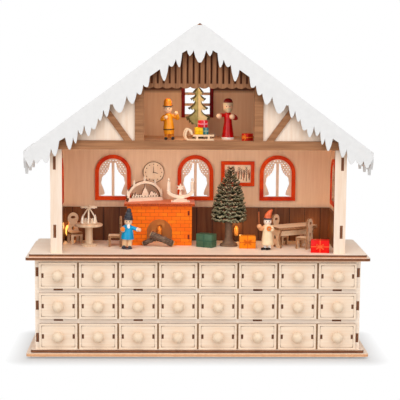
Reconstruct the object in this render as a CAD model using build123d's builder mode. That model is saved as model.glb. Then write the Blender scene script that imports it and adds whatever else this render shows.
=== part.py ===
from build123d import *
import os
from math import atan, cos, radians, sin

os.makedirs("parts", exist_ok=True)

# Sheet stock and fits
board = 4.0  # plywood of the chest, the decks and the house
thin_ply = 3.0  # plywood of the drawers and of the layers applied to the house
fret_ply = 2.0  # plywood of the fretwork
slot_fit = 0.1  # play of a tab or a halving in its slot
run_fit = 0.3  # play of a drawer in its opening
overrun = 1.0  # how far a cut runs past the face where it ends
engraving = 0.4  # depth of an engraved line

# Chest of drawers
columns = 8
rows = 3
column_pitch = 55.9
row_pitch = 43.3
front_width = 53.2
front_height = 36.8
tray_inset = 3.6  # from the end of a drawer front to the side of its tray
tray_height = 29.4
tray_end_gap = 1.3  # from the back of a tray to the end of the shelves
tray_tab = 6.3
border_inset = 3.0  # engraved border of a drawer front
border_width = 0.8
knob_diameter = 16.0
knob_seat = 1.6  # how much of the ball is cut flat where it is glued on
chest_depth = 128.0
end_stile = 4.4  # from the outer pitch line to the end of the chest
top_rail = 4.3  # from the top row of drawer fronts to the deck
side_margin = 1.0  # from the end of the chest to its side panel
panel_tab = 13.0
service_gap = 11.0  # room for the wiring behind the drawers
foot_diameter = 20.0
foot_height = 3.5
foot_inset = 12.0  # from the edge of the plinth to the edge of a foot
lower_overhang = 12.0  # outer layer of plinth and deck, past the chest
upper_overhang = 6.2  # inner layer of the plinth, past the chest
deck_overhang = 7.8  # inner layer of the deck, past the chest
board_corner = 4.0
side_tab_shares = (0.13, 0.49, 0.86)  # places of the side tabs up the chest
shelf_tab_columns = (0, 2, 5, 7)
shelf_side_shares = (0.25, 0.75)  # places of the shelf tabs along a side panel

# House
house_inset = 21.6  # from the end of the chest to the corner of the house
porch = 13.8  # from the front edge of the upper deck to the house
rear_ledge = 8.8  # from the back wall to the rear edge of the upper deck
post_width = 16.4
post_lap = 4.0  # from the edge of a post to the side wall behind it
ceiling_height = 151.9
wall_tab = 18.4
wall_tab_shares = (0.2, 0.83)  # places of the wall tabs up the room
tie_height = 12.3
tie_lip = 2.1  # how far the tie beam stands above the attic floor
tie_inset = 11.9  # from the corner of the house to the end of the tie beam
attic_height = 158.8  # from the attic floor to the underside of the ridge
attic_half = 76.3  # half the width of the attic opening
attic_post = 12.6
brace_width = 9.0
brace_foot = 5.0  # from an attic post to the middle of a brace on the tie beam
brace_angle = 54.0
gable_rim = 14.0  # wall left above the attic opening, under the slope
slat_drop = 82.2  # from the underside of the ridge to the foot of the slats
slat_pitch = 8.2
slat_slot = 2.8
slat_pairs = 8  # slots on each side of the middle one
slat_hem = 4.4
slat_head = 10.0  # board left above a slot, under the slope
scallops = 12
scallop_depth = 2.4

# Roof and snow
roof_spring = 8.2  # from the corner of the house to where the roof meets the level of the attic floor
eave_reach = 31.6  # from the corner of the house to the eave
roof_overhang = 10.0
rear_overhang = 5.0
snow_lip = 2.5  # how far the snow stands above the roof panels
ridge_flat = 7.0  # half the width of the blunt tip of the snow
snow_nose = 6.0  # rounding of the snow at the eave
icicle_drop = 46.0
eave_drop = 34.0
eave_icicles = 9
# Lower edge of the snow from the eave inwards: shares of the half width and of the drop
icicle_shares = (
    (0.975, 0.46), (0.958, 0.62), (0.939, 0.47), (0.920, 0.68), (0.893, 0.61), (0.865, 0.87),
    (0.841, 0.52), (0.816, 0.85), (0.795, 0.48), (0.761, 0.50), (0.734, 0.98), (0.716, 0.67),
    (0.700, 0.92), (0.688, 0.55), (0.668, 0.78), (0.653, 0.55), (0.626, 0.99), (0.612, 0.79),
    (0.592, 0.91), (0.574, 0.65), (0.560, 0.78), (0.544, 0.52), (0.522, 0.81), (0.506, 0.50),
    (0.492, 0.55), (0.445, 0.98), (0.412, 0.62), (0.375, 0.99), (0.355, 0.73), (0.332, 0.88),
    (0.319, 0.64), (0.292, 0.81), (0.282, 0.54), (0.225, 0.55), (0.198, 1.00), (0.175, 0.60),
    (0.154, 0.74), (0.135, 0.60), (0.113, 0.92), (0.100, 0.55), (0.073, 0.57), (0.055, 0.81),
    (0.035, 0.72), (0.0, 1.22),
)
icicle_side_shares = ((0.28, 0.48), (0.72, 0.9))  # of the way across and down from root to tip
eave_tip_shares = (0.72, 1.0, 0.8)  # drops of the eave icicles, in turn
eave_notch_share = 0.42

# Windows and wall coverings
window_width = 52.9
window_head = 24.2  # from the ceiling to the top of a window frame
window_sill = 60.3  # from the room floor to the foot of a window frame
window_frame = 5.6
window_pitch = 121.8
window_shift = -2.3  # of the three windows from the middle of the back wall
window_lap = 1.0  # how far the frame covers the edge of the curtain opening
mullion = 3.5
lace_hole = 2.4
# Edge of the open part of a curtain half: shares of its half width and height
curtain_shares = ((0.42, 0.62), (0.80, 0.36), (0.70, 0.16), (0.52, 0.0))
curtain_head_share = 0.84
lace_shares = ((0.20, 0.90), (0.42, 0.82), (0.60, 0.70), (0.74, 0.57), (0.84, 0.24), (0.76, 0.08))
attic_window_half = 18.3
attic_window_sill = 31.9
attic_bar = 3.8
attic_pane = 12.2
attic_pane_count = 3
shutter_width = 5.2
shutter_height = 45.0
shutter_drop = 4.6  # how far a shutter reaches below the window
wainscot_height = 50.0
groove_pitch = 23.0
groove_width = 0.9
groove_depth = 0.6
clock_diameter = 31.5
clock_rim = 3.2
clock_dot = 1.4
clock_line = 1.2
clock_minute_share = 0.56
clock_hour_share = 0.36
clock_hour_angle = -30.0  # four o'clock, measured from the +X side
clock_x_share = -0.328
clock_z_share = 0.671
picture_width = 49.4
picture_height = 37.0
picture_frame = 5.3
picture_x_share = 0.309
picture_z_share = 0.66

# Fireplace
fireplace_width = 93.8
fireplace_height = 57.8
fireplace_depth = 47.0
fireplace_x_share = -0.281
hearth_width = 36.3
hearth_height = 38.4
cheek_inset = 3.2
cheek_tab = 7.0
cheek_tab_shares = (0.22, 0.82)
mantel_reach = 4.1  # past the fireplace at the ends and in front
log_diameter = 7.0
log_length = 36.0
log_slope = 24.0
log_gap = 0.4
log_x_shares = (-0.178, -0.40)  # lower ends of the logs

# Tables and chairs
table_height = 32.0
table_top = 3.4
round_top_diameter = 40.0
round_column_diameter = 11.0
round_foot_diameter = 23.3
round_foot_height = 3.2
round_table_shares = (-0.803, 0.545)
dining_height = 30.0
dining_width = 66.0
dining_depth = 32.0
dining_leg = 4.0
dining_inset = 2.5
dining_table_shares = (0.709, 0.598)
dining_turn = 28.0  # its left end towards the front
seat_width = 17.5
seat_depth = 16.0
seat_height = 16.5
chair_height = 44.0
chair_rounding = 6.0
leg_width = 4.0
leg_height = 11.0
back_slot_width = 8.0
back_slot_height = 4.0
back_slot_drop = 8.0
# Places of the chairs on the room floor, as shares, and the way each one is turned
chair_place_shares = ((-0.924, 0.765), (-0.615, 0.51), (0.627, 0.694), (0.778, 0.383))
chair_turns = (35.0, -90.0, 52.0, -121.0)

# Small ornaments
arch_width = 56.0
arch_height = 24.0
arch_rim = 6.0
arch_base_height = 5.0
arch_base_depth = 9.0
arch_candles = 5
candle_diameter = 2.6
candle_height = 8.0
arch_shares = (0.283, 0.684)  # along and across the mantel
arch_turn = 24.0
star_width = 39.6
star_rim = 4.5
star_base_width = 26.8
star_base_height = 6.0
star_points = 6
star_radius = 6.5
star_hub = 3.2
star_candle_diameter = 4.4
star_candle_height = 17.0
star_shares = (0.797, 0.40)
pyramid_base = 26.0
pyramid_base_height = 2.0
pyramid_height = 28.0
pyramid_leg = 2.0
pyramid_lean = 7.0
pyramid_post = 2.4
rotor_diameter = 24.0
rotor_thickness = 1.6
rotor_drop = 3.0  # the tip of the post above the rotor

# Trees, sled and parcels
tree_height = 120.5
tree_skirt = 37.0  # from the floor to the lowest branches
tree_radius = 26.3
tree_tiers = 7
tree_swell = 0.6  # below one the tree bulges outside a straight cone
tier_waist_share = 0.72
tier_top_share = 0.8
tree_stand_diameter = 25.8
tree_stand_shares = ((1.0, 0.0), (1.0, 0.08), (0.62, 0.22), (0.45, 0.5), (0.43, 1.0))
tree_shares = (0.234, 0.574)
cutout_width = 36.0
cutout_height = 73.0
cutout_trunk = 6.0
cutout_foot = 16.0
cutout_foot_height = 3.0
# Edge of the cut-out tree from the trunk to the tip: shares of the half width and height
cutout_shares = (
    (0.55, 0.235), (1.0, 0.36), (0.38, 0.49), (0.81, 0.575), (0.36, 0.69), (0.65, 0.755),
    (0.28, 0.83), (0.45, 0.87),
)
cutout_tree_shares = (0.0, 0.60)
sled_length = 42.0
sled_width = 15.0
sled_height = 8.6
sled_runner = 2.4
sled_bar = 2.6
sled_curl = 5.8  # half the width of the hook at the front of a runner
sled_hook_height = 17.5
sled_shares = (0.0, 0.25)
sled_turn = 8.0  # away from the front, seen from above
sled_strut_shares = (0.2, 0.75)  # places of the struts along the bed
parcel_size = 26.0
parcel_gap = 0.2
# Parcels: width, depth and height as shares of the parcel size, and places on the floors
green_parcel_shares = (1.0, 0.61, 0.75)
orange_parcel_shares = (0.92, 0.62, 0.70)
red_parcel_shares = (0.97, 0.70, 0.70)
attic_parcel_shares = (0.65, 0.46, 0.42)
yellow_parcel_shares = (0.44, 0.42, 0.38)
teal_parcel_shares = (0.29, 0.42, 0.38)
top_parcel_shares = (0.44, 0.40, 0.39)
green_place_shares = (0.066, 0.478)
orange_place_shares = (0.367, 0.404)
red_place_shares = (0.878, 0.088)
attic_place_shares = (0.89, 0.21)
green_turn = -30.0
red_turn = -11.0

# Turned figures
figure_height = 58.5
figure_radius = 11.0
arm_diameter = 5.6
arm_profile_shares = ((0.9, 0.0), (1.0, 0.68), (0.86, 0.74), (1.15, 0.82), (1.15, 0.93), (0.7, 1.0))
# Profiles from the shoes to the tip of the hat: shares of the radius and of the height
bowler_shares = (
    (0.80, 0.0), (0.80, 0.05), (0.50, 0.07), (0.50, 0.20), (1.0, 0.23), (0.92, 0.34), (0.58, 0.58),
    (0.40, 0.62), (0.62, 0.68), (0.66, 0.76), (0.60, 0.82), (0.92, 0.835), (0.92, 0.855),
    (0.64, 0.865), (0.60, 0.94), (0.36, 1.0),
)
robe_shares = (
    (1.0, 0.0), (1.0, 0.035), (0.98, 0.05), (0.80, 0.34), (0.56, 0.58), (0.44, 0.62), (0.66, 0.68),
    (0.70, 0.76), (0.62, 0.83), (0.74, 0.84), (0.72, 0.90), (0.46, 0.97), (0.20, 1.0),
)
coat_shares = (
    (0.86, 0.0), (0.86, 0.06), (0.52, 0.09), (0.52, 0.27), (0.90, 0.29), (0.84, 0.42), (0.70, 0.58),
    (0.42, 0.62), (0.60, 0.67), (0.62, 0.74), (0.54, 0.78), (0.80, 0.79), (0.76, 0.82),
    (0.46, 0.92), (0.12, 1.0),
)
# Arms: shares of the height for the shoulder and the reach, then the rise and the turn from +X
bowler_arm_shares = ((0.52, 0.25), (0.52, 0.25))
bowler_arm_angles = ((35.0, -35.0), (35.0, 215.0))
robe_arm_shares = ((0.46, 0.23), (0.46, 0.23))
robe_arm_angles = ((10.0, -40.0), (10.0, 220.0))
coat_arm_shares = ((0.50, 0.34), (0.48, 0.24))
coat_arm_angles = ((-20.0, -25.0), (2.0, 225.0))
cook_arm_shares = ((0.46, 0.24), (0.50, 0.25))
cook_arm_angles = ((-8.0, -45.0), (15.0, 220.0))
bowler_place_shares = (-0.525, 0.40)
robe_place_shares = (0.525, 0.52)
coat_place_shares = (-0.518, 0.30)
cook_place_shares = (0.511, 0.275)

# Lamps
lamp_holder = 8.0
lamp_holder_height = 8.0
lamp_bulb = 7.0
lamp_bulb_height = 15.0
lamp_gap = 0.5  # from a lamp holder to the wall
lamp_x_shares = (-0.977, -0.281, 0.301, 0.865)
wire_diameter = 1.8
wire_hole = 2.4
wire_drop = 2.0  # from the underside of the deck to the middle of the wire
inlet_diameter = 8.0
inlet_length = 9.0
inlet_bore = 5.5
inlet_bore_depth = 6.0
inlet_drop = 18.0

# Levels from the ground up
plinth_z = foot_height
floor_z = plinth_z + board
chest_z = floor_z + board
chest_height = (rows - 1) * row_pitch + run_fit + front_height + top_rail
deck_z = chest_z + chest_height
upper_z = deck_z + board
room_z = upper_z + board
attic_z = room_z + ceiling_height + board
ridge_z = attic_z + attic_height
tie_top = attic_z + tie_lip
tie_z = tie_top - tie_height

# Places across the width
chest_width = columns * column_pitch + 2 * end_stile
side_out = chest_width / 2 - side_margin
side_in = side_out - board
tray_width = front_width - 2 * tray_inset
house_half = chest_width / 2 - house_inset
wall_out = house_half - post_lap
wall_in = wall_out - board
room_half = wall_in - thin_ply
eave_x = house_half + eave_reach
snow_half = eave_x + board

# Places in depth: the knobs and the rear edge of the plinth are equally far from the origin
knob_length = knob_diameter - knob_seat
knob_reach = run_fit + thin_ply + knob_length - lower_overhang
mid_y = max(knob_reach, 0) / 2
front_y = mid_y - chest_depth / 2
back_y = mid_y + chest_depth / 2
frame_in_y = front_y + board
back_in_y = back_y - board
grid_back_y = back_in_y - service_gap
house_y = front_y - deck_overhang + porch
house_in_y = house_y + board
rear_y = back_y + deck_overhang - rear_ledge
rear_in_y = rear_y - board
wall_y = rear_in_y - thin_ply
room_depth = wall_y - house_in_y
roof_front = house_y - roof_overhang
roof_back = rear_y + rear_overhang

slope = attic_height / (house_half + roof_spring)
panel_rise = board / cos(atan(slope))


def column_x(column):
    """Middle of a column of drawers."""
    return (column - (columns - 1) / 2) * column_pitch


def row_z(row):
    """Level that the drawers of a row run on."""
    return chest_z + row * row_pitch


def under_roof(x):
    """Height of the underside of the roof at a place across the width."""
    return ridge_z - slope * abs(x)


def snow_top(x):
    """Height of the upper edge of the snow at a place across the width."""
    return under_roof(x) + panel_rise + snow_lip


def room_spot(shares):
    """Place on the room floor from shares of its half width and its depth."""
    return (shares[0] * room_half, house_in_y + shares[1] * room_depth, room_z)


def attic_spot(shares):
    """Place on the attic floor from shares of its half opening and its depth."""
    return (shares[0] * attic_half, house_in_y + shares[1] * room_depth, attic_z)


def front_plane(y):
    """Sketch plane seen from the front, +X to the right and +Z up."""
    return Plane.XZ.offset(-y)


def span(low, high, foot, head, mode=Mode.ADD):
    """Rectangle between two places along each axis of the open sketch."""
    with Locations(((low + high) / 2, (foot + head) / 2)):
        Rectangle(high - low, head - foot, mode=mode)


def slab(x_low, x_high, y_low, y_high, z_low, z_high):
    """Plain board between two places along each axis."""
    with BuildPart() as piece:
        with BuildSketch(Plane.XY.offset(z_low)):
            span(x_low, x_high, y_low, y_high)
        extrude(amount=z_high - z_low)
    return piece.part


def turned(spot, shares, radius, height, direction=(0, 0, 1)):
    """Piece turned about a line from a spot, upright if not said otherwise, from a profile of shares."""
    line = Vector(direction)
    across = line.cross(Vector(0, -1, 0))
    with BuildPart() as piece:
        with BuildSketch(Plane(origin=spot, x_dir=across, z_dir=across.cross(line))):
            edge = [(radius * r_share, height * h_share) for r_share, h_share in shares]
            Polygon((0, 0), *edge, (0, height), align=None)
        revolve(axis=Axis(spot, direction))
    return piece.part


def rod(start, direction, diameter, length):
    """Round rod from a point in a direction."""
    with BuildPart() as piece:
        with BuildSketch(Plane(origin=start, z_dir=direction)):
            Circle(diameter / 2)
        extrude(amount=length)
    return piece.part


def joined(*pieces):
    """One solid glued up from overlapping pieces."""
    with BuildPart() as whole:
        for piece in pieces:
            add(piece)
    return whole.part


# Feet
with BuildPart() as feet:
    foot_x = chest_width / 2 + lower_overhang - foot_inset - foot_diameter / 2
    foot_y = chest_depth / 2 + lower_overhang - foot_inset - foot_diameter / 2
    with BuildSketch():
        with Locations((0, mid_y)):
            with GridLocations(2 * foot_x, 2 * foot_y, 2, 2):
                Circle(foot_diameter / 2)
    extrude(amount=foot_height)
feet.part.label = "feet"
export_step(feet.part, "parts/feet.step")

# Plinth and chest floor
with BuildPart() as plinth_board:
    with BuildSketch(Plane.XY.offset(plinth_z)):
        with Locations((0, mid_y)):
            RectangleRounded(chest_width + 2 * lower_overhang, chest_depth + 2 * lower_overhang, board_corner)
    extrude(amount=board)
plinth_board.part.label = "plinth_board"
export_step(plinth_board.part, "parts/plinth_board.step")

with BuildPart() as chest_floor:
    with BuildSketch(Plane.XY.offset(floor_z)):
        with Locations((0, mid_y)):
            RectangleRounded(chest_width + 2 * upper_overhang, chest_depth + 2 * upper_overhang, board_corner)
    extrude(amount=board)
chest_floor.part.label = "chest_floor"
export_step(chest_floor.part, "parts/chest_floor.step")

# Front frame of the chest: openings for the trays, slots for the tabs of sides and shelves
side_tab_z = [chest_z + share * chest_height for share in side_tab_shares]
side_mid = (side_in + side_out) / 2
opening_width = tray_width + 2 * run_fit
opening_height = tray_height + 2 * run_fit

with BuildPart() as chest_front_frame:
    with BuildSketch(front_plane(frame_in_y)):
        span(-chest_width / 2, chest_width / 2, chest_z, deck_z)
        for row in range(rows):
            foot = row_z(row) - (overrun if row == 0 else 0)
            for column in range(columns):
                x = column_x(column)
                head = row_z(row) + opening_height
                span(x - opening_width / 2, x + opening_width / 2, foot, head, mode=Mode.SUBTRACT)
            for column in shelf_tab_columns if row > 0 else ():
                with Locations((column_x(column), row_z(row) - thin_ply / 2)):
                    Rectangle(panel_tab + slot_fit, thin_ply + slot_fit, mode=Mode.SUBTRACT)
        for z in side_tab_z:
            with Locations((-side_mid, z), (side_mid, z)):
                Rectangle(board + slot_fit, panel_tab + slot_fit, mode=Mode.SUBTRACT)
    extrude(amount=board)
chest_front_frame.part.label = "chest_front_frame"
export_step(chest_front_frame.part, "parts/chest_front_frame.step")

# Side panels, with tabs through the front frame and the back and slots for the shelf tabs
shelf_side_y = [frame_in_y + share * (grid_back_y - frame_in_y) for share in shelf_side_shares]


def chest_side(side):
    """Side panel of the chest at the left (-1) or the right (1)."""
    with BuildPart() as panel:
        with BuildSketch(Plane.YZ.offset(side * side_mid - board / 2)):
            span(frame_in_y, back_in_y, chest_z, deck_z)
            for z in side_tab_z:
                span(front_y, back_y, z - panel_tab / 2, z + panel_tab / 2)
            for row in range(1, rows):
                with Locations(*[(y, row_z(row) - thin_ply / 2) for y in shelf_side_y]):
                    Rectangle(panel_tab + slot_fit, thin_ply + slot_fit, mode=Mode.SUBTRACT)
        extrude(amount=board)
    return panel.part


chest_side_panels = Compound(label="chest_side_panels", children=[chest_side(-1), chest_side(1)])
export_step(chest_side_panels, "parts/chest_side_panels.step")

# Back panel, with slots for the side tabs and the hole of the power inlet
inlet_z = deck_z - inlet_drop
with BuildPart() as chest_back:
    with BuildSketch(front_plane(back_y)):
        span(-chest_width / 2, chest_width / 2, chest_z, deck_z)
        for z in side_tab_z:
            with Locations((-side_mid, z), (side_mid, z)):
                Rectangle(board + slot_fit, panel_tab + slot_fit, mode=Mode.SUBTRACT)
        with Locations((0, inlet_z)):
            Circle(inlet_diameter / 2, mode=Mode.SUBTRACT)
    extrude(amount=board)
chest_back.part.label = "chest_back"
export_step(chest_back.part, "parts/chest_back.step")

# Shelves and dividers, halved into each other
halving_y = (frame_in_y + grid_back_y) / 2
divider_x = [(place - columns / 2) * column_pitch for place in range(1, columns)]

with BuildPart() as drawer_shelves:
    for row in range(1, rows):
        with BuildSketch(Plane.XY.offset(row_z(row) - thin_ply)):
            span(-side_in, side_in, frame_in_y, grid_back_y)
            for y in shelf_side_y:
                span(-side_out, side_out, y - panel_tab / 2, y + panel_tab / 2)
            for column in shelf_tab_columns:
                x = column_x(column)
                span(x - panel_tab / 2, x + panel_tab / 2, front_y, frame_in_y)
            for x in divider_x:
                reach = (thin_ply + slot_fit) / 2
                span(x - reach, x + reach, halving_y, grid_back_y + overrun, mode=Mode.SUBTRACT)
        extrude(amount=thin_ply)
drawer_shelves.part.label = "drawer_shelves"
export_step(drawer_shelves.part, "parts/drawer_shelves.step")

with BuildPart() as drawer_dividers:
    for x in divider_x:
        with BuildSketch(Plane.YZ.offset(x - thin_ply / 2)):
            span(frame_in_y, grid_back_y, chest_z, deck_z)
            for row in range(1, rows):
                foot = row_z(row) - thin_ply - slot_fit / 2
                head = row_z(row) + slot_fit / 2
                span(frame_in_y - overrun, halving_y, foot, head, mode=Mode.SUBTRACT)
        extrude(amount=thin_ply)
drawer_dividers.part.label = "drawer_dividers"
export_step(drawer_dividers.part, "parts/drawer_dividers.step")


# Drawers
def drawer(column, row):
    """Drawer glued up from a front, two sides, a back, a bottom and a ball knob."""
    x = column_x(column)
    foot = row_z(row) + run_fit
    head = foot + tray_height
    middle = foot + front_height / 2
    inner_y = front_y - run_fit
    face_y = inner_y - thin_ply
    end_y = grid_back_y - tray_end_gap
    tray_out = tray_width / 2
    tray_in = tray_out - thin_ply
    tab_x = (tray_out + tray_in) / 2

    with BuildPart() as front:
        with BuildSketch(front_plane(inner_y)):
            span(x - front_width / 2, x + front_width / 2, foot, foot + front_height)
            with Locations((x - tab_x, middle), (x + tab_x, middle)):
                Rectangle(thin_ply + slot_fit, tray_tab + slot_fit, mode=Mode.SUBTRACT)
        extrude(amount=thin_ply)
        with BuildSketch(front_plane(face_y + engraving)):
            with Locations((x, middle)):
                Rectangle(front_width - 2 * border_inset, front_height - 2 * border_inset)
                inner_inset = border_inset + border_width
                Rectangle(front_width - 2 * inner_inset, front_height - 2 * inner_inset, mode=Mode.SUBTRACT)
        extrude(amount=engraving, mode=Mode.SUBTRACT)

    sides = []
    for edge in (-tray_out, tray_in):
        with BuildPart() as side:
            with BuildSketch(Plane.YZ.offset(x + edge)):
                span(inner_y, end_y, foot, head)
                span(face_y, inner_y, middle - tray_tab / 2, middle + tray_tab / 2)
            extrude(amount=thin_ply)
        sides.append(side.part)

    back = slab(x - tray_in, x + tray_in, end_y - thin_ply, end_y, foot, head)
    bottom = slab(x - tray_in, x + tray_in, inner_y, end_y - thin_ply, foot, foot + thin_ply)

    with BuildPart() as knob:
        radius = knob_diameter / 2
        with BuildSketch(Plane(origin=(x, face_y + knob_seat - radius, middle), z_dir=(0, 0, 1))):
            Circle(radius)
            span(-radius, 0, -radius, radius, mode=Mode.SUBTRACT)
            span(-radius, radius, radius - knob_seat, radius, mode=Mode.SUBTRACT)
        revolve(axis=Axis((x, face_y, middle), (0, 1, 0)))

    return [front.part, *sides, back, bottom, knob.part]


for row in range(rows):
    for column in range(columns):
        drawer_name = f"drawer_{(rows - 1 - row) * columns + column + 1:02d}"
        drawer_box = Compound(label=drawer_name, children=drawer(column, row))
        export_step(drawer_box, f"parts/{drawer_name}.step")

# Deck boards, with holes for the lamp wires
lamp_y = wall_y - lamp_gap - lamp_holder / 2
lamp_x = [share * room_half for share in lamp_x_shares]

with BuildPart() as deck_lower:
    with BuildSketch(Plane.XY.offset(deck_z)):
        with Locations((0, mid_y)):
            RectangleRounded(chest_width + 2 * lower_overhang, chest_depth + 2 * lower_overhang, board_corner)
        with Locations(*[(x, lamp_y) for x in lamp_x]):
            Circle(wire_hole / 2, mode=Mode.SUBTRACT)
    extrude(amount=board)
deck_lower.part.label = "deck_lower"
export_step(deck_lower.part, "parts/deck_lower.step")

with BuildPart() as deck_upper:
    with BuildSketch(Plane.XY.offset(upper_z)):
        with Locations((0, mid_y)):
            RectangleRounded(chest_width + 2 * deck_overhang, chest_depth + 2 * deck_overhang, board_corner)
        with Locations(*[(x, lamp_y) for x in lamp_x]):
            Circle(wire_hole / 2, mode=Mode.SUBTRACT)
    extrude(amount=board)
deck_upper.part.label = "deck_upper"
export_step(deck_upper.part, "parts/deck_upper.step")

# House front: corner posts, gable and attic opening in one plate
wall_mid = (wall_in + wall_out) / 2
wall_tab_z = [room_z + share * ceiling_height for share in wall_tab_shares]
gable_outline = (
    (-house_half, room_z),
    (house_half, room_z),
    (house_half, under_roof(house_half)),
    (0, ridge_z),
    (-house_half, under_roof(house_half)),
)
attic_outline = (
    (-attic_half, tie_top),
    (attic_half, tie_top),
    (attic_half, under_roof(attic_half) - gable_rim),
    (0, ridge_z - gable_rim),
    (-attic_half, under_roof(attic_half) - gable_rim),
)

with BuildPart() as house_front:
    with BuildSketch(front_plane(house_in_y)):
        Polygon(*gable_outline, align=None)
        room_edge = house_half - post_width
        span(-room_edge, room_edge, room_z - overrun, tie_z, mode=Mode.SUBTRACT)
        Polygon(*attic_outline, align=None, mode=Mode.SUBTRACT)
        for z in wall_tab_z:
            with Locations((-wall_mid, z), (wall_mid, z)):
                Rectangle(board + slot_fit, wall_tab + slot_fit, mode=Mode.SUBTRACT)
    extrude(amount=board)
house_front.part.label = "house_front"
export_step(house_front.part, "parts/house_front.step")

# Timber frame applied to the front: tie beam, attic posts and braces, cut to the roof slope
with BuildPart() as timber_frame:
    with BuildSketch(front_plane(house_y)):
        tie_half = house_half - tie_inset
        span(-tie_half, tie_half, tie_z, tie_top)
        brace_x = attic_half + attic_post + brace_foot
        for side in (-1, 1):
            post_in = side * attic_half
            post_out = side * (attic_half + attic_post)
            span(min(post_in, post_out), max(post_in, post_out), tie_z, ridge_z)
            with Locations(Location((side * brace_x, tie_top - tie_height / 2), side * brace_angle)):
                brace_align = (Align.MIN if side > 0 else Align.MAX, Align.CENTER)
                Rectangle(attic_height, brace_width, align=brace_align)
        Polygon(*gable_outline, align=None, mode=Mode.INTERSECT)
    extrude(amount=thin_ply)
timber_frame.part.label = "timber_frame"
export_step(timber_frame.part, "parts/timber_frame.step")

# Slatted gable board with a scalloped foot, between the attic posts
slat_foot = ridge_z - slat_drop
slat_half = attic_half - slot_fit
scallop_pitch = 2 * slat_half / scallops
slat_sides = under_roof(slat_half)

with BuildPart() as gable_slats:
    with BuildSketch(front_plane(house_y)):
        with BuildLine():
            for scallop in range(scallops):
                start = -slat_half + scallop * scallop_pitch
                middle = start + scallop_pitch / 2
                end = start + scallop_pitch
                ThreePointArc((start, slat_foot), (middle, slat_foot - scallop_depth), (end, slat_foot))
            Polyline((slat_half, slat_foot), (slat_half, slat_sides), (0, ridge_z))
            Polyline((0, ridge_z), (-slat_half, slat_sides), (-slat_half, slat_foot))
        make_face()
        for slat in range(-slat_pairs, slat_pairs + 1):
            x = slat * slat_pitch
            head = under_roof(x) - slat_head
            span(x - slat_slot / 2, x + slat_slot / 2, slat_foot + slat_hem, head, mode=Mode.SUBTRACT)
    extrude(amount=thin_ply)
gable_slats.part.label = "gable_slats"
export_step(gable_slats.part, "parts/gable_slats.step")

# Windows: the places of the three in the back wall and the one in the middle of each side wall
window_z = room_z + window_sill
window_height = ceiling_height - window_sill - window_head
window_x = [window_shift + place * window_pitch for place in (-1, 0, 1)]
side_window_y = (house_in_y + rear_in_y) / 2
pane_width = window_width - 2 * window_frame
pane_height = window_height - 2 * window_frame


def arch(x, foot, width, height, mode=Mode.ADD):
    """Round-headed window outline on the open sketch."""
    spring = foot + height - width / 2
    span(x - width / 2, x + width / 2, foot, spring, mode=mode)
    with Locations((x, spring)):
        Circle(width / 2, mode=mode)


def side_wall(side):
    """Side wall at the left (-1) or the right (1), its top cut to the roof slope."""
    with BuildPart() as wall:
        with BuildSketch(front_plane(rear_in_y)):
            corners = [(wall_in, room_z), (wall_out, room_z)]
            corners += [(wall_out, under_roof(wall_out)), (wall_in, under_roof(wall_in))]
            Polygon(*[(side * x, z) for x, z in corners], align=None)
        extrude(amount=rear_in_y - house_in_y)
        with BuildSketch(Plane.YZ.offset(side * wall_mid - board / 2)):
            for z in wall_tab_z:
                span(house_y, house_in_y, z - wall_tab / 2, z + wall_tab / 2)
                span(rear_in_y, rear_y, z - wall_tab / 2, z + wall_tab / 2)
        extrude(amount=board)
        with BuildSketch(Plane.YZ.offset(side * wall_mid - board / 2)):
            arch(side_window_y, window_z + window_frame, pane_width, pane_height)
        extrude(amount=board, mode=Mode.SUBTRACT)
    return wall.part


house_side_walls = Compound(label="house_side_walls", children=[side_wall(-1), side_wall(1)])
export_step(house_side_walls, "parts/house_side_walls.step")

# Back wall: gable plate with three arched windows and a barred attic window
attic_window_z = attic_z + attic_window_sill
with BuildPart() as house_back:
    with BuildSketch(front_plane(rear_y)):
        Polygon(*gable_outline, align=None)
        for x in window_x:
            arch(x, window_z + window_frame, pane_width, pane_height, mode=Mode.SUBTRACT)
        for pane in range(attic_pane_count):
            pane_z = attic_window_z + pane * (attic_pane + attic_bar)
            span(-attic_window_half, attic_window_half, pane_z, pane_z + attic_pane, mode=Mode.SUBTRACT)
        for z in wall_tab_z:
            with Locations((-wall_mid, z), (wall_mid, z)):
                Rectangle(board + slot_fit, wall_tab + slot_fit, mode=Mode.SUBTRACT)
    extrude(amount=board)
house_back.part.label = "house_back"
export_step(house_back.part, "parts/house_back.step")

# Shutters beside the attic window
with BuildPart() as attic_shutters:
    with BuildSketch(front_plane(rear_in_y)):
        shutter_foot = attic_window_z - shutter_drop
        for side in (-1, 1):
            near = side * attic_window_half
            far = side * (attic_window_half + shutter_width)
            span(min(near, far), max(near, far), shutter_foot, shutter_foot + shutter_height)
    extrude(amount=fret_ply)
attic_shutters.part.label = "attic_shutters"
export_step(attic_shutters.part, "parts/attic_shutters.step")


# Fretwork curtains with a mullion, and the frames over them
def curtain(plane, x, outward):
    """Fretwork curtain on a wall plane: two leaves drawn aside from a mullion, with lace holes."""
    foot = window_z + window_frame + window_lap
    height = pane_height - 2 * window_lap
    half = pane_width / 2 - window_lap
    with BuildPart() as piece:
        with BuildSketch(plane):
            arch(x, window_z, window_width, window_height)
            for side in (-1, 1):
                near = x + side * mullion / 2
                head = (near, foot + height * curtain_head_share)
                bulge, tie, waist, hem = [
                    (x + side * half * w_share, foot + height * h_share) for w_share, h_share in curtain_shares
                ]
                with BuildLine():
                    ThreePointArc(head, bulge, tie)
                    ThreePointArc(tie, waist, hem)
                    Polyline(hem, (near, foot), head)
                make_face(mode=Mode.SUBTRACT)
                for w_share, h_share in lace_shares:
                    with Locations((x + side * half * w_share, foot + height * h_share)):
                        Circle(lace_hole / 2, mode=Mode.SUBTRACT)
        extrude(amount=outward * fret_ply)
    return piece.part


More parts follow.
